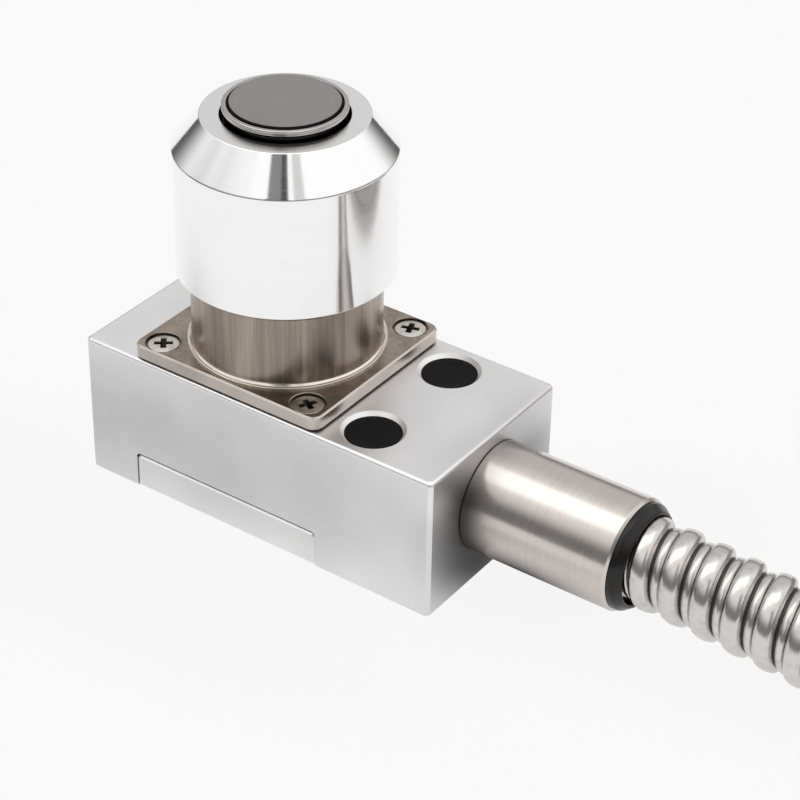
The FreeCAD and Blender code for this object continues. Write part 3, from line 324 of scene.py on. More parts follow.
def turned_metal(name, colour, rough, middle=AXIS, axis="Z", marks=0.25, tint=0.08,
                 anisotropic=0.0, shade=0.0):
    """Metal with the fine rings that a lathe tool leaves."""
    material, sheet, place = new_finish(name)
    rings = sheet.noise(turning_place(sheet, middle, axis), 2600.0, 3.0, 0.7)
    cloud = sheet.noise(place, 90.0, 3.0)
    share = sheet.ramp(rings * 0.6 + cloud * 0.4, 0.3, 0.7)
    tone = sheet.mix(share, *shades(colour, 1 - tint, 1 + tint / 2))
    return close_finish(material, sheet, {
        "Base Color": painted_foot_shade(sheet, tone, shade) if shade else tone,
        "Metallic": 1.0,
        "Roughness": rough + (rings - 0.5) * 0.12 + (cloud - 0.5) * 0.06,
        "Anisotropic": anisotropic,
        "Anisotropic Rotation": 0.25,
        "Normal": sheet.bump(rings, 0.01, marks),
    })


def drawn_metal(name, colour, rough):
    """Ground metal with fine streaks that run up its height."""
    material, sheet, place = new_finish(name)
    place = sheet.vector("MULTIPLY", place, (1.0, 1.0, 0.035))
    streaks = sheet.noise(place, 1400.0, 4.0, 0.65)
    bands = sheet.noise(place, 210.0, 2.0)
    share = sheet.ramp(streaks * 0.5 + bands * 0.5, 0.36, 0.64)
    return close_finish(material, sheet, {
        "Base Color": sheet.mix(share, *shades(colour, 0.7, 1.15)),
        "Metallic": 1.0,
        "Roughness": rough + (streaks - 0.5) * 0.2,
        "Normal": sheet.bump(streaks, 0.01, 0.4),
    })


def plain_metal(name, colour, rough, grain=0.2, scale=900.0):
    """Stamped or drawn metal with small uneven marks."""
    material, sheet, place = new_finish(name)
    marks = sheet.noise(place, scale, 4.0, 0.6)
    cloud = sheet.noise(place, 140.0, 2.0)
    return close_finish(material, sheet, {
        "Base Color": sheet.mix(sheet.ramp(cloud, 0.35, 0.75), *shades(colour, 1.0, 0.85)),
        "Metallic": 1.0,
        "Roughness": rough + (marks - 0.5) * 0.15,
        "Normal": sheet.bump(marks, 0.02, grain),
    })


def moulded(name, colour, rough, grain=0.25, scale=2500.0, gloss=0.5):
    """Rubber or plastic with the fine skin of its mould."""
    material, sheet, place = new_finish(name)
    skin = sheet.noise(place, scale, 2.0, 0.6)
    cloud = sheet.noise(place, 160.0, 3.0)
    return close_finish(material, sheet, {
        "Base Color": sheet.mix(sheet.ramp(cloud, 0.3, 0.7), *shades(colour, 0.75, 1.25)),
        "Roughness": rough + (skin - 0.5) * 0.16 + (cloud - 0.5) * 0.1,
        "Specular IOR Level": gloss,
        "Normal": sheet.bump(skin, 0.03, grain),
    })


def circuit_board(name):
    """Green solder mask over copper tracks."""
    material, sheet, place = new_finish(name)
    tracks = sheet.add("ShaderNodeTexBrick", {"offset": 0.35}, {
        "Vector": place, "Scale": 420.0, "Mortar Size": 0.16,
        "Brick Width": 0.9, "Row Height": 0.45,
        "Color1": grey(0.0), "Color2": grey(0.0), "Mortar": grey(1.0),
    })
    weave = sheet.noise(place, 3000.0)
    return close_finish(material, sheet, {
        "Base Color": sheet.mix(tracks, (0.008, 0.1, 0.045, 1.0), (0.03, 0.2, 0.09, 1.0)),
        "Roughness": 0.28 + (weave - 0.5) * 0.1,
        "Normal": sheet.bump(tracks, 0.03, 0.5),
    })


def armour_metal(name):
    """Bright rolled strip, with painted shade where it folds into the joint."""
    material, sheet, place = new_finish(name)
    depth = sheet.add("ShaderNodeAttribute", {"attribute_name": "depth"}, {}, "Fac")
    marks = sheet.noise(place, 700.0, 4.0, 0.6)
    crease_shade = sheet.ramp(depth, 1.1, 1.65)
    strip = sheet.mix(sheet.ramp(marks, 0.45, 0.75), (0.64, 0.62, 0.6, 1.0), (0.54, 0.52, 0.5, 1.0))
    return close_finish(material, sheet, {
        "Base Color": sheet.mix(crease_shade, strip, (0.08, 0.075, 0.07, 1.0)),
        "Metallic": 1.0,
        "Roughness": 0.22 + (marks - 0.5) * 0.12 + crease_shade * 0.25,
        "Normal": sheet.bump(marks, 0.02, 0.2),
    })


def screw_metal(name):
    """Bright screw head, its driven recess painted dark as shade."""
    material, sheet, place = new_finish(name)
    recess = sheet.add("ShaderNodeAttribute", {"attribute_name": "recess"}, {}, "Fac")
    marks = sheet.noise(place, 1800.0, 3.0, 0.6)
    worn = sheet.ramp(marks, 0.35, 0.7)
    bright = sheet.mix(worn, (0.72, 0.69, 0.66, 1.0), (0.6, 0.57, 0.54, 1.0))
    return close_finish(material, sheet, {
        "Base Color": sheet.mix(recess, bright, (0.07, 0.065, 0.06, 1.0)),
        "Metallic": 1.0,
        "Roughness": 0.24 + (marks - 0.5) * 0.15 + recess * 0.25,
        "Normal": sheet.bump(marks, 0.02, 0.25),
    })


# The block's finish carries painted shade round the tube's foot
block_finish = satin_anodised("block_satin_anodised", (0.87, 0.865, 0.87), 0.38, shade=0.5)
rim_finish = satin_anodised("counterbore_bright_cut", (1.0, 1.0, 1.0), 0.5, 0.1)
cover_finish = satin_anodised("cover_satin_anodised", (0.93, 0.93, 0.93), 0.38)
cap_finish = turned_metal("cap_polished_aluminium", (0.88, 0.88, 0.885), 0.09,
                          marks=0.05, tint=0.02, anisotropic=0.5)
cap_top_finish = turned_metal("cap_top_faced_aluminium", (0.9, 0.9, 0.905), 0.22,
                              marks=0.1, tint=0.03)
barrel_finish = drawn_metal("barrel_ground_stainless", (0.36, 0.305, 0.26), 0.3)
flange_finish = plain_metal("flange_brushed_stainless", (0.4, 0.36, 0.315), 0.34, 0.1, 1500.0)
# The plate's edge: a lighter copy of the flange metal, as painted light on its sides
flange_edge_lit_finish = plain_metal("flange_edge_painted_light", (0.61, 0.56, 0.52), 0.3, 0.5, 2600.0)
ring_edge_finish = turned_metal("barrel_foot_polished", (0.78, 0.72, 0.65), 0.16, marks=0.1)
lip_finish = turned_metal("lip_turned_stainless", (0.5, 0.48, 0.46), 0.14, marks=0.2)
# The plunger's side below the lip: dark steel as painted shade
painted_shade_finish = turned_metal("plunger_side_painted_shade", (0.05, 0.045, 0.042), 0.3)
carbide_finish = turned_metal("contact_lapped_carbide", (0.36, 0.34, 0.345), 0.32,
                              marks=0.15, tint=0.06)
# The tube's finish carries painted shade near its foot
tube_finish = turned_metal("tube_turned_stainless", (0.62, 0.58, 0.55), 0.2, TUBE_AXIS, "X",
                           tint=0.06, shade=0.88)
ring_finish = moulded("conduit_ring_gloss_rubber", (0.007, 0.007, 0.007), 0.24, 0.1, gloss=0.35)
rubber_finish = moulded("matt_black_rubber", (0.012, 0.012, 0.013), 0.5, gloss=0.3)
plug_finish = moulded("plug_black_rubber", (0.006, 0.006, 0.007), 0.6, 0.2, gloss=0.1)
armour_finish = armour_metal("conduit_rolled_stainless")
screw_finish = screw_metal("screw_stainless")
nickel_finish = satin_anodised("connector_satin_nickel", (0.6, 0.58, 0.54), 0.27, 0.15)

# Finishes of the pieces that are taken over as they are
CARRIED_FINISHES = [
    (cover_finish, ["bottom_cover"]),
    (plain_metal("inner_stainless", (0.52, 0.5, 0.47), 0.32),
     ["cover_screws", "stop_collar", "shutter_blade", "conduit_ferrule", "board_screws"]),
    (plain_metal("circlip_spring_steel", (0.32, 0.32, 0.33), 0.38), ["guide_circlip"]),
    (turned_metal("guide_bronze", (0.55, 0.38, 0.2), 0.3, marks=0.4),
     ["guide_bush", "lower_guide"]),
    (satin_anodised("clamp_aluminium", (0.7, 0.7, 0.7), 0.4), ["boot_clamp"]),
    (rubber_finish, ["cover_gasket", "flange_gasket", "spigot_seal_ring", "cap_seal_ring",
                     "cable_seal", "tube_washer"]),
    (moulded("switch_black_plastic", (0.025, 0.025, 0.028), 0.45),
     ["photo_interrupter", "connector_insert"]),
    (moulded("terminal_green_plastic", (0.04, 0.2, 0.08), 0.4), ["terminal_block"]),
    (circuit_board("board_solder_mask"), ["sensor_board"]),
    (moulded("cable_sheath", (0.03, 0.03, 0.034), 0.4, 0.2, 1500.0),
     ["signal_cable", "lead_wires"]),
    (plain_metal("pin_gold", (0.8, 0.58, 0.25), 0.25), ["connector_pins"]),
]


# Making pieces
# Rounding: steps of the bend, the share of a side that it may take, and the flat held beside it
ROUND_STEPS = 5
ROUND_SHARE = 0.45
HOLD = 0.04
HOLD_SHARE = 0.04
CORNER_STEPS = 10
CHAMFER_STEPS = 4

# Angles above which an edge stays sharp: of turned pieces, cut pieces and the rolled strip
TURNED_SHARP = 38.0
CUT_SHARP = 30.0
STRIP_SHARP = 50.0


def put_in_scene(name, data):
    item = bpy.data.objects.new(name, data)
    bpy.context.scene.collection.objects.link(item)
    return item


def new_piece(name, points, faces=()):
    """Object at the origin whose mesh is given in millimetres."""
    mesh = bpy.data.meshes.new(name)
    mesh.from_pydata([Vector(point) * MM for point in points], [], list(faces))
    return put_in_scene(name, mesh)


def tidy(piece, sharp=TURNED_SHARP, merge=1e-7):
    """Merge doubles, turn faces outwards and smooth all but the sharp edges."""
    shape = bmesh.new()
    shape.from_mesh(piece.data)
    bmesh.ops.remove_doubles(shape, verts=shape.verts, dist=merge)
    bmesh.ops.recalc_face_normals(shape, faces=shape.faces)
    for face in shape.faces:
        face.smooth = True
    shape.to_mesh(piece.data)
    shape.free()
    piece.data.set_sharp_from_angle(angle=math.radians(sharp))
    return piece


def discard(*items):
    for item in items:
        bpy.data.objects.remove(item)


def settled(piece):
    """Make the piece's modifiers part of its mesh."""
    graph = bpy.context.evaluated_depsgraph_get()
    mesh = bpy.data.meshes.new_from_object(piece.evaluated_get(graph))
    piece.modifiers.clear()
    piece.data = mesh
    return piece


def combined(piece, tool, operation):
    """Cut a piece with a tool, or join the tool to it, and throw the tool away."""
    change = piece.modifiers.new("change", "BOOLEAN")
    change.operation = operation
    change.solver = "EXACT"
    change.object = tool
    settled(piece)
    discard(tool)
    return piece


def gathered(name, pieces):
    """One object of several separate shells."""
    shape = bmesh.new()
    for piece in pieces:
        shape.from_mesh(piece.data)
    whole = new_piece(name, [])
    shape.to_mesh(whole.data)
    shape.free()
    discard(*pieces)
    return whole


def softened(corners):
    """Section with rounded corners: each corner is two coordinates and its rounding."""
    rows = []
    for n, (across, along, soft) in enumerate(corners):
        here = Vector((across, along))
        if not soft:
            rows.append(here)
            continue
        back = Vector(corners[n - 1][:2]) - here
        ahead = Vector(corners[(n + 1) % len(corners)][:2]) - here
        reach = min(soft / math.tan(back.angle(ahead) / 2),
                    ROUND_SHARE * back.length, ROUND_SHARE * ahead.length)
        start = here + back.normalized() * reach
        end = here + ahead.normalized() * reach
        rows.append(start + back.normalized() * min(HOLD, HOLD_SHARE * back.length))
        for step in range(ROUND_STEPS + 1):
            share = step / ROUND_STEPS
            rows.append(start * (1 - share) ** 2 + here * (2 * share * (1 - share))
                        + end * share ** 2)
        rows.append(end + ahead.normalized() * min(HOLD, HOLD_SHARE * ahead.length))
    return rows


def turned(name, corners, middle=AXIS, axis="Z", sides=160):
    """Piece turned from the closed half section of (radius, reach, rounding) corners."""
    section = softened(corners)
    points = []
    for radius, reach in section:
        for n in range(sides):
            turn = 2 * math.pi * n / sides
            across, up = radius * math.cos(turn), radius * math.sin(turn)
            offset = (across, up, reach) if axis == "Z" else (reach, across, up)
            points.append(Vector(middle) + Vector(offset))
    solid = corners[0][0] == 0 and corners[-1][0] == 0
    rows = len(section)
    faces = []
    for row in range(rows - 1 if solid else rows):
        first, second = row * sides, (row + 1) % rows * sides
        for n in range(sides):
            following = (n + 1) % sides
            faces.append((first + n, first + following, second + following, second + n))
    return tidy(new_piece(name, points, faces))


def drill(name, radius, low, high, middle=AXIS, sides=160):
    """Plain upright cylinder that cuts a hole."""
    corners = [(0.0, low, 0.0), (radius, low, 0.0), (radius, high, 0.0), (0.0, high, 0.0)]
    return turned(name, corners, middle, sides=sides)


def prism(name, loops):
    """Closed form through loops of equally many points, capped at both ends."""
    count = len(loops[0])
    points = [point for loop in loops for point in loop]
    faces = [tuple(range(count)), tuple(range(len(points) - count, len(points)))]
    for row in range(len(loops) - 1):
        for n in range(count):
            following = (n + 1) % count
            faces.append((row * count + n, row * count + following,
                          (row + 1) * count + following, (row + 1) * count + n))
    return tidy(new_piece(name, points, faces))


def rounded_outline(length, width, corner):
    """Points round a rectangle with rounded corners, about the origin."""
    points = []
    for quarter, (side, end) in enumerate(((1, 1), (-1, 1), (-1, -1), (1, -1))):
        for step in range(CORNER_STEPS + 1):
            turn = math.radians(90 * (quarter + step / CORNER_STEPS))
            points.append((side * (length / 2 - corner) + corner * math.cos(turn),
                           end * (width / 2 - corner) + corner * math.sin(turn)))
    return points


def corner_places(spans, height=0.0):
    """Places of four screws in the corners of a rectangle about the sensor's axis."""
    return [(SENSOR_X + along * spans[0] / 2, across * spans[1] / 2, height)
            for along in (-1, 1) for across in (-1, 1)]


def zoned(piece, finishes, zone):
    """Give a piece several finishes, and each face the one that its zone counts to."""
    for finish in finishes:
        piece.data.materials.append(finish)
    for face in piece.data.polygons:
        face.material_index = int(zone(face))
    return piece


def fit(piece, finish, body, slot, *nodes):
    """Give a finished piece its finish, its body and the nodes it stands for, which are hidden; its
    slot is not used.
    """
    if finish is not None:
        piece.data.materials.clear()
        piece.data.materials.append(finish)
    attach(piece, body)
    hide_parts(*nodes)
    return piece


# Geometry trees
class Rule(Sheet):
    """A geometry tree with named inputs, run once on an object."""

    def __init__(self, name):
        super().__init__(bpy.data.node_groups.new(name, "GeometryNodeTree"))
        for way in ("INPUT", "OUTPUT"):
            self.tree.interface.new_socket("Geometry", in_out=way, socket_type="NodeSocketGeometry")
        self.start = self.tree.nodes.new("NodeGroupInput")
        self.given = {}

    def ask(self, name, kind, value):
        """A named input of the tree, and the value that this object gives it."""
        socket = self.tree.interface.new_socket(name, in_out="INPUT",
                                                socket_type="NodeSocket" + kind)
        self.given[socket.identifier] = value
        return Signal(self, self.start.outputs[name])

    def geometry(self):
        return Signal(self, self.start.outputs["Geometry"])

    def run(self, piece, shape, finish):
        """End the tree, run it on the piece and keep the result as its plain mesh."""
        real = self.add("GeometryNodeRealizeInstances", {}, {"Geometry": shape})
        dressed = self.add("GeometryNodeSetMaterial", {}, {"Geometry": real, "Material": finish})
        self.add("NodeGroupOutput", {}, {"Geometry": dressed})
        modifier = piece.modifiers.new("rule", "NODES")
        modifier.node_group = self.tree
        for identifier, value in self.given.items():
            modifier[identifier] = value
        return settled(piece)


def repeated(name, places, turns, pattern, finish, axis=2):
    """One pattern repeated on its seats, each copy turned its own way."""
    seats = new_piece(name, places)
    turn = seats.data.attributes.new("turn", "FLOAT", "POINT")
    turn.data.foreach_set("value", [math.radians(angle) for angle in turns])
    rule = Rule("copies_on_seats")
    given = rule.ask("Pattern", "Object", pattern)
    mesh = rule.add("GeometryNodeObjectInfo", {}, {"Object": given}, "Geometry")
    angle = rule.add("GeometryNodeInputNamedAttribute", {"data_type": "FLOAT"}, {"Name": "turn"})
    rotation = rule.add("ShaderNodeCombineXYZ", {}, {axis: angle})
    copies = rule.add("GeometryNodeInstanceOnPoints", {}, {
        "Points": rule.geometry(), "Instance": mesh, "Rotation": rotation,
    })
    rule.run(seats, copies, finish)
    discard(pattern)
    return seats


def screw_pattern():
    """Countersunk screw with a tapered cross recess, its head's face at the origin."""
    screw = turned("screw_pattern", [
        (0.0, 0.06, 0.0), (1.9, 0.06, 0.6), (2.86, -0.14, 0.22), (2.8, -0.3, 0.05),
        (1.45, -1.6, 0.0), (1.45, -9.0, 0.0), (1.2, -9.3, 0.0), (0.0, -9.3, 0.0),
    ], (0, 0, 0), sides=64)
    loops = []
    for level, arm, slot in ((0.4, 1.85, 0.65), (-0.15, 1.68, 0.5), (-1.5, 0.6, 0.25)):
        loop = []
        for quarter in range(4):
            turn = Matrix.Rotation(math.radians(90 * quarter), 2)
            for corner in ((arm, -slot), (arm, slot), (slot, slot)):
                loop.append((*(turn @ Vector(corner)), level))
        loops.append(loop)
    combined(screw, prism("cross_cutter", loops), "DIFFERENCE")
    tidy(screw, CUT_SHARP)
    # Faces inside the cross recess are marked for painted shade
    recess = screw.data.attributes.new("recess", "FLOAT", "FACE")
    inside = []
    for face in screw.data.polygons:
        middle = face.center / MM
        sunk = -1.7 < middle.z < -0.02 and math.hypot(middle.x, middle.y) < 1.6
        inside.append(1.0 if sunk else 0.0)
    recess.data.foreach_set("value", inside)
    return screw


# Conduit: its path, then the rolled strip that is wound round it
def coil_radius(angle):
    """Radius of the coil on the floor, which winds inwards by one step a turn."""
    return COIL_RADIUS - COIL_STEP * max(0.0, angle - COIL_START) / 360


def far_end():
    """The conduit's end on top of the coil, and the way it heads there."""
    turn = math.radians(COIL_END)
    radius = coil_radius(COIL_END - 360)
    place = (COIL_CENTRE[0] + radius * math.cos(turn), COIL_CENTRE[1] + radius * math.sin(turn),
             COIL_FLOOR + COIL_LIFT)
    return Vector(place) * MM, turn + math.pi / 2


def conduit_points():
    """Points of the route, then of the coil: a turn and a quarter on the floor, the rest on top."""
    points = [Vector(point) * MM for point in CONDUIT_ROUTE]
    swell = 1 / math.cos(math.radians(COIL_POINT_STEP / 2))
    angle = COIL_START - COIL_POINT_STEP / 2
    while angle < COIL_END + COIL_POINT_STEP / 2:
        radius, height = coil_radius(angle), COIL_FLOOR
        if angle > COIL_FLOOR_END:
            share = min(1.0, (angle - COIL_FLOOR_END) / COIL_RISE)
            lean = math.pi / 2 * share * share * (3 - 2 * share)
            radius = coil_radius(angle - 360) - COIL_STEP * math.cos(lean)
            height = COIL_FLOOR + COIL_LIFT * math.sin(lean)
        turn = math.radians(angle)
        points.append(Vector((COIL_CENTRE[0] + swell * radius * math.cos(turn),
                              COIL_CENTRE[1] + swell * radius * math.sin(turn), height)) * MM)
        angle += COIL_POINT_STEP
    points[-1] = far_end()[0]
    return points


def conduit_path():
    """The line that the conduit follows, read from the spline of its route."""
    line = bpy.data.curves.new("conduit_route", "CURVE")
    line.dimensions = "3D"
    spline = line.splines.new("NURBS")
    points = conduit_points()
    spline.points.add(len(points) - 1)
    for knot, point in zip(spline.points, points):
        knot.co = (*point, 1.0)
    spline.order_u = 3
    spline.use_endpoint_u = True
    spline.resolution_u = 24
    route = put_in_scene("conduit_route", line)
    graph = bpy.context.evaluated_depsgraph_get()
    graph.update()
    mesh = bpy.data.meshes.new_from_object(route.evaluated_get(graph))
    discard(route)
    return mesh


# Section of the strip over one pitch: share of the pitch, depth below the crest
STRIP_SECTION = [
    (0.0, 1.7), (0.012, 1.0), (0.045, 0.5), (0.11, 0.18), (0.2, 0.04), (0.33, 0.0), (0.45, 0.06),
    (0.53, 0.24), (0.585, 0.6), (0.62, 1.1), (0.65, 1.6), (0.69, 1.6), (0.75, 1.1), (0.84, 0.9),
    (0.93, 0.92), (0.975, 1.2), (1.0, 1.7),
]
STRIP_SIDES = 26
STRIP_PHASE = 0.45
STRIP_ROOT = 1.9
STRIP_LEAD = 2.0
STRIP_SPARE = 5
STRIP_MARGIN = 0.0001
STRIP_MERGE = 2e-5
INDEX_NUDGE = 0.001


def armoured_conduit(path):
    """Strip wound round the path, its section repeated at every turn."""
    tube = put_in_scene("armoured_conduit", path)
    section = new_piece("strip_section", [(share, depth, 0.0) for share, depth in STRIP_SECTION])
    section.data.transform(Matrix.Scale(1 / MM, 4))
    rule = Rule("conduit_strip")
    pitch = rule.ask("Pitch", "Float", CONDUIT_PITCH * MM)
    outside = rule.ask("Radius", "Float", CONDUIT_DIAMETER / 2 * MM)
    sides = rule.ask("Sides", "Int", STRIP_SIDES)
    phase = rule.ask("Phase", "Float", STRIP_PHASE)
    profile = rule.ask("Section", "Object", section)
    stations = len(STRIP_SECTION)
    line = rule.add("GeometryNodeMeshToCurve", {}, {"Mesh": rule.geometry()})
    length = rule.add("GeometryNodeCurveLength", {}, {"Curve": line})
    turns = length / pitch

    # A flat sheet: one row for each side of each turn, one station for each point of the section
    rows = ((turns + STRIP_SPARE) * sides).floor()
    sheet = rule.add("GeometryNodeMeshGrid", {}, {"Vertices X": rows, "Vertices Y": stations})
    index = rule.add("GeometryNodeInputIndex")
    row = (index / stations + INDEX_NUDGE).floor()
    station = index - row * stations
    shape = rule.add("GeometryNodeObjectInfo", {}, {"Object": profile}, "Geometry")
    place = rule.add("GeometryNodeSampleIndex", {"data_type": "FLOAT_VECTOR"}, {
        "Geometry": shape, "Value": rule.add("GeometryNodeInputPosition"), "Index": station,
    })
    share, depth, _ = rule.parts(place)

    # How many turns a point is wound along the path; past either end the strip closes to a point
    wound = row / sides + share - STRIP_LEAD
    reach = (wound * pitch).held(0.0, length)
    sample = rule.add("GeometryNodeSampleCurve", {"mode": "LENGTH"},
                      {"Curves": line, "Length": reach}, "Position")
    tangent, normal = rule.also(sample, "Tangent"), rule.also(sample, "Normal")
    inside = (wound > STRIP_MARGIN) * (wound < turns - STRIP_MARGIN)
    present = 1 - (wound < -1 - STRIP_MARGIN) - (wound > turns + (1 + STRIP_MARGIN))
    sunk = inside * depth + (1 - inside) * STRIP_ROOT
    radius = present * (outside - MM * sunk)
    angle = (row / sides - phase) * (2 * math.pi)
    across = rule.vector("CROSS_PRODUCT", tangent, normal)
    outward = rule.vector("ADD", rule.scaled(normal, radius * angle.cosine()),
                          rule.scaled(across, radius * angle.sine()))
    strip = rule.add("GeometryNodeSetPosition", {}, {
        "Geometry": sheet, "Position": rule.vector("ADD", sample, outward),
    })
    kind = {"data_type": "FLOAT", "domain": "POINT"}
    marked = rule.add("GeometryNodeStoreNamedAttribute", kind, {
        "Geometry": strip, "Name": "depth", "Value": sunk,
    })
    rule.run(tube, marked, armour_finish)
    discard(section)
    return tidy(tube, STRIP_SHARP, STRIP_MERGE)


# Base block
def block_tools():
    """What is cut out of the block: the channel and passage, then the bores and tapped holes."""
    low_x, high_x = SENSOR_X - CHANNEL_LENGTH / 2, SENSOR_X + CHANNEL_LENGTH / 2
    section = softened([
        (low_x, -2.0, 0.0), (high_x, -2.0, 0.0),
        (high_x, CHANNEL_HEIGHT, CHANNEL_CORNER), (low_x, CHANNEL_HEIGHT, CHANNEL_CORNER),
    ])
    channel = prism("channel", [[(x, y, z) for x, z in section] for y in (-25.0, 25.0)])
    passage = turned("passage", [
        (0.0, SENSOR_X, 0.0), (3.5, SENSOR_X, 0.0), (3.5, 7.4, 0.0), (6.05, 7.4, 0.0),
        (6.05, 18.8, 0.0), (0.0, 18.8, 0.0),
    ], TUBE_AXIS, "X", 64)
    first = gathered("channel_tools", [channel, passage])
    bores = [drill("bore", 15.55, 3.85, 31.0)]
    for side in (-1, 1):
        bores.append(turned("hole", [
            (0.0, -1.0, 0.0), (MOUNT_RADIUS, -1.0, 0.0), (MOUNT_RADIUS, COUNTERBORE_FLOOR, 0.0),
            (COUNTERBORE_RADIUS, COUNTERBORE_FLOOR, 0.0),
            (COUNTERBORE_RADIUS, BLOCK_HEIGHT - COUNTERBORE_RIM, 0.0),
            (COUNTERBORE_RADIUS + COUNTERBORE_RIM + 1, BLOCK_HEIGHT + 1, 0.0),
            (0.0, BLOCK_HEIGHT + 1, 0.0),
        ], (0.0, side * MOUNT_SPACING / 2, 0.0), sides=96))
    for spans, low, high in ((FLANGE_SCREWS, 20.7, 30.0), (COVER_SCREWS, 7.0, 14.7)):
        for place in corner_places(spans):
            bores.append(drill("tapping", 1.5, low, high, place, 24))
    return first, gathered("bore_tools", bores)


def block_zone(face):
    """The counterbores' cut rims have a finish of their own."""
    middle = face.center / MM
    reach = math.hypot(middle.x, abs(middle.y) - MOUNT_SPACING / 2)
    sloped = 0.3 < face.normal.z < 0.95 and middle.z > BLOCK_HEIGHT - 1.0
    return sloped and reach < COUNTERBORE_RADIUS + 1.0


def base_block():
    """Block with rounded chamfers along its edges, then everything that is cut out of it."""
    chamfer = BLOCK_CHAMFER
    rows = [(0.0, chamfer + HOLD)]
    for step in range(CHAMFER_STEPS + 1):
        turn = math.radians(90 * step / CHAMFER_STEPS)
        rows.append((chamfer * (1 - math.cos(turn)), chamfer * (1 - math.sin(turn))))
    rows.append((chamfer + HOLD, 0.0))
    rows += [(BLOCK_HEIGHT - level, inset) for level, inset in reversed(rows)]
    loops = []
    for level, inset in rows:
        low_x, high_x = BLOCK_NEAR_X + inset, BLOCK_END_X - inset
        edge = BLOCK_WIDTH / 2 - inset
        loops.append([
            (low_x + chamfer, -edge, level), (high_x - chamfer, -edge, level),
            (high_x, -edge + chamfer, level), (high_x, edge - chamfer, level),
            (high_x - chamfer, edge, level), (low_x + chamfer, edge, level),
            (low_x, edge - chamfer, level), (low_x, -edge + chamfer, level),
        ])
    block = prism("machined_block", loops)
    for tool in block_tools():
        combined(block, tool, "DIFFERENCE")
    return tidy(zoned(block, [block_finish, rim_finish], block_zone), CUT_SHARP)


def hole_plug(name, side):
    return turned(name, [
        (0.0, PLUG_BOTTOM, 0.0), (5.15, PLUG_BOTTOM, 0.0), (5.15, PLUG_TOP, 0.4),
        (4.2, PLUG_TOP - 0.02, 0.3), (3.6, PLUG_TOP - 0.1, 0.4), (0.0, PLUG_TOP - 0.12, 0.0),
    ], (0.0, side * MOUNT_SPACING / 2, 0.0), sides=96)


# Sensor housing: the turned barrel, then the flange it stands on
def housing_zone(face):
    """Which of the housing's finishes a face has: barrel, plate, plate's edge or foot ring."""
    middle = face.center / MM
    reach = math.hypot(middle.x - SENSOR_X, middle.y)
    if 17.55 < reach < 18.45 and middle.z > FLANGE_TOP + 0.01:
        return 3
    if FLANGE_SEAT - 0.05 < middle.z < FLANGE_TOP + 0.05 and reach > 17.6:
        # The plate's edge faces take the lighter copy of its metal, which is painted light
        outer = (abs(middle.x - SENSOR_X) > FLANGE_LENGTH / 2 - 0.7
                 or abs(middle.y) > FLANGE_WIDTH / 2 - 0.7 or reach > 25.0)
        return 2 if outer and abs(face.normal.z) < 0.9 else 1
    return 0


def sensor_housing():
    barrel = turned("housing_with_flange", [
        # Spigot with its ring's groove, then the foot ring
        (13.5, 23.0, 0.0), (15.5, 23.0, 0.2), (15.5, 25.0, 0.0), (14.45, 25.0, 0.0),
        (14.45, 26.2, 0.0), (15.5, 26.2, 0.0), (15.5, 30.7, 0.0), (18.4, 30.7, 0.0),
        (18.4, 32.4, 0.3), (17.9, 32.4, 0.12), (17.5, 32.8, 0.5),
        # Barrel, shoulder and neck with its ring's groove
        (17.5, 58.0, 0.2), (16.0, 58.0, 0.0), (16.0, 61.1, 0.0), (14.35, 61.1, 0.0),
        (14.35, 62.9, 0.0), (16.0, 62.9, 0.0), (16.0, 66.0, 0.3),
        # Crown's bore, then the hollow with the circlip's groove
        (6.5, 66.0, 0.0), (6.5, 60.0, 0.0), (12.5, 60.0, 0.0), (12.5, 36.0, 0.0),
        (13.5, 36.0, 0.0), (13.5, 33.0, 0.0), (14.3, 33.0, 0.0), (14.3, 31.8, 0.0),
        (13.5, 31.8, 0.0),
    ], sides=192)
    loops = []
    for level, inset in (
            (FLANGE_SEAT, 0.1), (FLANGE_SEAT + 0.1, 0.0), (FLANGE_TOP - FLANGE_EDGE, 0.0),
            (FLANGE_TOP - 0.08, FLANGE_EDGE - 0.08), (FLANGE_TOP, FLANGE_EDGE)):
        outline = rounded_outline(FLANGE_LENGTH - 2 * inset, FLANGE_WIDTH - 2 * inset,
                                  FLANGE_CORNER - inset)
        loops.append([(SENSOR_X + x, y, level) for x, y in outline])
    plate = prism("plate", loops)
    combined(plate, drill("opening", 14.9, 28.0, 34.0), "DIFFERENCE")
    combined(barrel, plate, "UNION")
    sinks = []
    for place in corner_places(FLANGE_SCREWS):
        sinks.append(turned("sink", [
            (0.0, 28.0, 0.0), (1.5, 28.0, 0.0), (1.5, 30.0, 0.0), (2.4, 30.8, 0.0),
            (3.3, 30.9, 0.0), (3.3, 31.9, 0.0), (4.3, 32.9, 0.0), (0.0, 33.0, 0.0),
        ], place, sides=64))
    combined(barrel, gathered("sinks", sinks), "DIFFERENCE")
    finishes = [barrel_finish, flange_finish, flange_edge_lit_finish, ring_edge_finish]
    return tidy(zoned(barrel, finishes, housing_zone), CUT_SHARP)


def protective_cap():
    cap = turned("polished_cap", [
        (19.5, 47.2, 0.12), (20.2, 47.9, 0.15), (20.2, 71.4, 0.8), (15.0, 77.6, 0.25),
        (11.45, 77.6, 0.2), (11.45, 72.6, 0.0), (16.1, 72.6, 0.0), (16.1, 58.0, 0.0),
        (17.8, 58.0, 0.0), (17.8, 47.2, 0.1),
    ], sides=224)
    return zoned(cap, [cap_finish, cap_top_finish], lambda face: face.normal.z > 0.95)


def head_zone(face):
    """The plunger's head is painted dark below its bright lip, as shade in the gap under the cap.
    """
    middle = face.center / MM
    reach = math.hypot(middle.x - SENSOR_X, middle.y)
    return reach > 10.4 and 73.2 < middle.z < 78.65


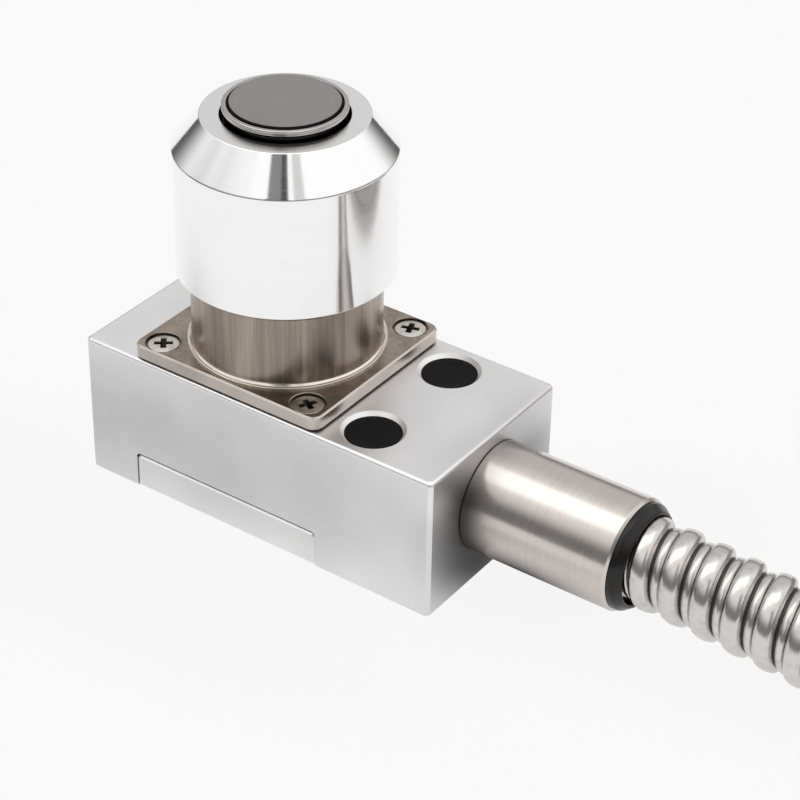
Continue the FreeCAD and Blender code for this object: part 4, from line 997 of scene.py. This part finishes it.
def plunger():
    body = turned("plunger_with_lip", [
        (0.0, 28.0, 0.0), (4.0, 28.0, 0.3), (4.0, 73.0, 0.0), (10.6, 73.0, 0.2),
        (10.6, 78.25, 0.1), (11.1, 78.7, 0.3), (11.1, 79.6, 0.5), (10.25, 79.6, 0.12),
        (10.25, 77.7, 0.0), (0.0, 77.7, 0.0),
    ])
    outline = ((-0.45, -6), (0.45, -6), (0.45, 6), (-0.45, 6))
    slot = prism("slot", [[(SENSOR_X + x, y, z) for x, y in outline] for z in (26.0, 32.0)])
    combined(body, slot, "DIFFERENCE")
    return tidy(zoned(body, [lip_finish, painted_shade_finish], head_zone), CUT_SHARP)


def carbide_contact():
    disc = turned("carbide_contact", [
        (0.0, 77.7, 0.0), (10.0, 77.7, 0.0), (10.0, 79.65, 0.05), (9.75, 79.9, 0.03),
        (0.0, 79.9, 0.0),
    ])
    # The disc's side takes the black rubber finish: painted shade in the groove round the disc
    return zoned(disc, [carbide_finish, plug_finish], lambda face: abs(face.normal.z) < 0.9)


def return_spring():
    """Round wire on a helix between the lower guide and the collar."""
    spring = new_piece("wound_return_spring", [(SENSOR_X, 0.0, 36.6)])
    rule = Rule("spring_wire")
    wire = rule.ask("Wire radius", "Float", 0.55 * MM)
    mean = rule.ask("Mean radius", "Float", 5.5 * MM)
    height = rule.ask("Height", "Float", 15.75 * MM)
    turns = rule.ask("Turns", "Float", 5.5)
    helix = rule.add("GeometryNodeCurveSpiral", {}, {
        "Resolution": 48, "Rotations": turns, "Start Radius": mean, "End Radius": mean,
        "Height": height,
    })
    ring = rule.add("GeometryNodeCurvePrimitiveCircle", {}, {"Resolution": 16, "Radius": wire})
    coil = rule.add("GeometryNodeCurveToMesh", {}, {
        "Curve": helix, "Profile Curve": ring, "Fill Caps": True,
    })
    placed = rule.add("GeometryNodeInstanceOnPoints", {}, {
        "Points": rule.geometry(), "Instance": coil,
    })
    rule.run(spring, placed, plain_metal("spring_wire_steel", (0.35, 0.35, 0.36), 0.3))
    return tidy(spring)


def rubber_boot():
    rows = [
        (15.94, 66.0), (15.94, 67.2), (12.65, 67.2), (11.22, 71.8), (9.56, 71.8), (7.8, 68.0),
        (6.51, 72.85), (4.15, 72.85), (4.15, 71.25), (5.45, 71.25), (6.86, 67.2), (8.75, 67.2),
        (10.4, 71.0), (11.93, 66.0),
    ]
    return turned("corrugated_boot", [(radius, height, 0.35) for radius, height in rows], sides=96)


# Connector at the conduit's far end, made along X and then set in place
def set_at_far_end(piece):
    place, heading = far_end()
    piece.data.transform(Matrix.Translation(place) @ Matrix.Rotation(heading, 4, "Z"))
    return piece


def connector_shell():
    rings = []
    for reach in (3.2, 5.0, 6.8):
        rings += [(8.2, reach, 0.12), (7.55, reach + 0.3, 0.1),
                  (7.55, reach + 0.8, 0.1), (8.2, reach + 1.1, 0.12)]
    return set_at_far_end(turned("connector_shell", [
        (0.0, 0.0, 0.0), (7.5, 0.0, 0.2), (8.2, 0.7, 0.4), *rings, (8.2, 26.0, 0.3),
        (6.5, 26.0, 0.0), (6.5, 32.0, 0.25), (4.55, 32.0, 0.15), (4.55, 27.5, 0.0),
        (0.0, 27.5, 0.0),
    ], (0, 0, 0), "X", 96))


def nut_land():
    """One raised land of the nut's grip, along X and above the axis."""
    loops = []
    for reach, drop in ((27.2, 0.5), (27.5, 0.14), (27.9, 0.0),
                        (39.7, 0.0), (40.1, 0.14), (40.4, 0.5)):
        # Nine points along its foot, then nine back along its crest, lower at both edges
        foot = [(7.45, 2.6 * step) for step in range(-4, 5)]
        crest = [(8.2 - drop - (0.12 if abs(step) == 4 else 0.0), 2.2 * step)
                 for step in range(4, -5, -1)]
        loop = []
        for radius, angle in foot + crest:
            turn = math.radians(angle)
            loop.append((reach, radius * math.sin(turn), radius * math.cos(turn)))
        loops.append(loop)
    return prism("nut_land", loops)


def coupling_nut():
    ring = turned("nut_ring", [
        (6.55, 26.8, 0.2), (6.55, 40.8, 0.2), (7.25, 40.8, 0.25), (7.6, 40.3, 0.2),
        (7.6, 27.3, 0.2), (7.25, 26.8, 0.25),
    ], (0, 0, 0), "X", 96)
    turns = [360 * n / NUT_LANDS for n in range(NUT_LANDS)]
    lands = repeated("nut_lands", [(0, 0, 0)] * NUT_LANDS, turns, nut_land(), nickel_finish, axis=0)
    return set_at_far_end(tidy(gathered("coupling_nut", [ring, lands])))


# Pieces
fit(base_block(), None, "base", "anodised_aluminium", "base_block")
fit(hole_plug("mounting_plug_near", -1), plug_finish, "base", "black_rubber", "hole_plug_near")
fit(hole_plug("mounting_plug_far", 1), plug_finish, "base", "black_rubber", "hole_plug_far")
fit(sensor_housing(), None, "base", "stainless_steel", "sensor_housing")
flange_seats = corner_places(FLANGE_SCREWS, FLANGE_TOP - SCREW_SINK)
screws = repeated("cross_recessed_screws", flange_seats, (38, 12, 62, 20), screw_pattern(),
                  screw_finish)
fit(screws, None, "base", "stainless_steel", "flange_screws")
fit(protective_cap(), None, "base", "polished_aluminium", "protective_cap")
fit(plunger(), None, "plunger", "stainless_steel", "plunger")
fit(carbide_contact(), None, "plunger", "carbide", "contact_disc")
fit(turned("contact_seal", [
    (10.03, 77.7, 0.0), (10.22, 77.7, 0.0), (10.22, 79.26, 0.05), (10.03, 79.26, 0.0),
]), plug_finish, "plunger", "black_rubber", "contact_ring")
fit(turned("turned_cable_tube", [
    (3.0, 8.2, 0.0), (3.0, 24.2, 0.0), (8.6, 24.2, 0.0), (8.6, TUBE_END, 0.1),
    (10.05, TUBE_END, 0.1), (TUBE_RADIUS, TUBE_END - 0.45, 0.2),
    (TUBE_RADIUS, TUBE_START - 0.25, 0.08), (10.2, TUBE_START - 0.25, 0.0),
    (10.2, TUBE_START, 0.0), (6.0, TUBE_START, 0.0), (6.0, 8.2, 0.0),
], TUBE_AXIS, "X"), tube_finish, "base", "stainless_steel", "cable_tube")
fit(turned("conduit_seal_ring", [
    (8.33, TUBE_END, 0.0), (8.33, TUBE_END + 2.4, 0.2), (8.85, TUBE_END + 2.4, 0.4),
    (9.95, TUBE_END + 0.9, 1.0), (9.95, TUBE_END, 0.2),
], TUBE_AXIS, "X"), ring_finish, "base", "black_rubber", "conduit_ring")
spring = fit(return_spring(), None, "base", "spring_steel", "return_spring")
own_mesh(spring)
boot = fit(rubber_boot(), rubber_finish, "base", "black_rubber", "rubber_boot")
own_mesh(boot)

connector = [
    fit(connector_shell(), nickel_finish, "base", "plated_brass", "connector_body"),
    fit(coupling_nut(), nickel_finish, "base", "plated_brass", "connector_nut"),
]
path_mesh = conduit_path()
conduit = fit(armoured_conduit(path_mesh), armour_finish, "base", "stainless_steel",
              "conduit", "conduit_coil")

for finish, names in CARRIED_FINISHES:
    for name in names:
        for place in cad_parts[name].material_slots:
            place.material = finish


# Studio: floor, light and camera
def patch(sheet, middle, reach):
    """One at the middle of an oval patch of the floor, fading to nought around it."""
    east, north, _ = sheet.parts(place_on(sheet))
    east = (east - middle[0] * MM) / (reach[0] * MM)
    north = (north - middle[1] * MM) / (reach[1] * MM)
    return (-1 * (east * east + north * north)).exponent()


def studio_floor():
    """Pale paper: nearly even to the eye, and dim in patches of painted shadow where the metal
    mirrors it.
    """
    material, sheet, place = new_finish("studio_floor")
    seen = sheet.add("ShaderNodeLightPath", {}, {}, "Is Camera Ray")
    gloom = 1.0
    for middle, reach, depth in FLOOR_GLOOM:
        gloom = gloom * (1 - depth * patch(sheet, middle, reach))
    paper = sheet.noise(place, 6.0)
    shade = sheet.mix(paper, grey(0.84), grey(0.87))
    lit = sheet.add("ShaderNodeBsdfDiffuse", {}, {"Color": sheet.mix(gloom, grey(0.05), shade)})
    glow = sheet.add("ShaderNodeEmission", {}, {
        "Color": grey(1.0), "Strength": seen * SEEN_PAPER + (1 - seen) * gloom * MIRRORED_PAPER,
    })
    share = seen * (SEEN_GLOW - MIRRORED_GLOW) + MIRRORED_GLOW
    surface = sheet.add("ShaderNodeMixShader", {}, {0: share, 1: lit, 2: glow})
    sheet.add("ShaderNodeOutputMaterial", {}, {"Surface": surface})
    corners = [(x * FLOOR_REACH, y * FLOOR_REACH, FLOOR_LEVEL)
               for x, y in ((-1, -1), (1, -1), (1, 1), (-1, 1))]
    floor = new_piece("studio_floor_sheet", corners, [(0, 1, 2, 3)])
    floor.data.materials.append(material)


def studio_sky():
    """Pale paper to the eye; to the metal a tent with a panel, dark strips and a dark horizon."""
    world = bpy.data.worlds.new("studio_sky")
    bpy.context.scene.world = world
    world.use_nodes = True
    world.node_tree.nodes.clear()
    sky = Sheet(world.node_tree)
    east, north, up = sky.parts(sky.add("ShaderNodeTexCoord", {}, {}, "Generated"))
    front = east * -SIGHT[0] / LEVEL_SIGHT - north * SIGHT[1] / LEVEL_SIGHT
    side = east * SIGHT[1] / LEVEL_SIGHT - north * SIGHT[0] / LEVEL_SIGHT
    turn = side.reckon("ARCTAN2", side, front) * (180 / math.pi)
    panel = sky.band(front, *PANEL_FRONT) * sky.band(side, *PANEL_SIDE) * sky.ramp(up, *PANEL_UP)
    tent = sky.ramp(front, *SKY_BACK, BACK_LIGHT, TENT_LIGHT)
    tent = tent + panel * (PANEL_LIGHT - TENT_LIGHT)
    high = sky.band(up, *SKY_HIGH)
    for depth, start, end, soft in SKY_STRIPS:
        tent = tent * (1 - depth * high * sky.band(turn, start, end, soft))
    tent = tent * (1 - 0.06 * sky.ramp(up, 0.2, 0.3) * (1 - sky.ramp(turn, -43.0, -34.0)))

    # The dark horizon: its upper edge, the width of its fading and its depth change around it
    brim = 0.05 + 0.2 * sky.ramp(front, -0.4, 0.0) + 0.1 * sky.ramp(front, 0.05, 0.25)
    soft = 0.39 - 0.11 * sky.ramp(side, -0.5, 0.2)
    deep = 0.88 - 0.09 * sky.ramp(front, 0.1, 0.3)
    tent = tent * (1 - deep * sky.ramp(up, -0.1, 0.0) * (1 - sky.ramp(up - brim, -0.06, soft)))
    seen = sky.add("ShaderNodeLightPath", {}, {}, "Is Camera Ray")
    light = sky.add("ShaderNodeBackground", {}, {
        "Color": (1.0, 0.995, 0.99, 1.0), "Strength": seen * SEEN_PAPER + (1 - seen) * tent,
    })
    sky.add("ShaderNodeOutputWorld", {}, {"Surface": light})


def studio():
    studio_floor()
    studio_sky()
    lens = bpy.data.cameras.new("camera")
    lens.lens = LENS
    lens.sensor_width = 36.0
    lens.clip_start, lens.clip_end = 0.01, 20.0
    camera = put_in_scene("camera", lens)
    ahead = Vector(SIGHT).normalized()
    right = ahead.cross(Vector(UPWARD)).normalized()
    top = right.cross(ahead)
    turn = Matrix((right, top, -ahead)).transposed().to_4x4()
    camera.matrix_world = Matrix.Translation(EYE) @ turn
    bpy.context.scene.camera = camera
    bpy.context.scene.view_settings.view_transform = "Standard"


studio()
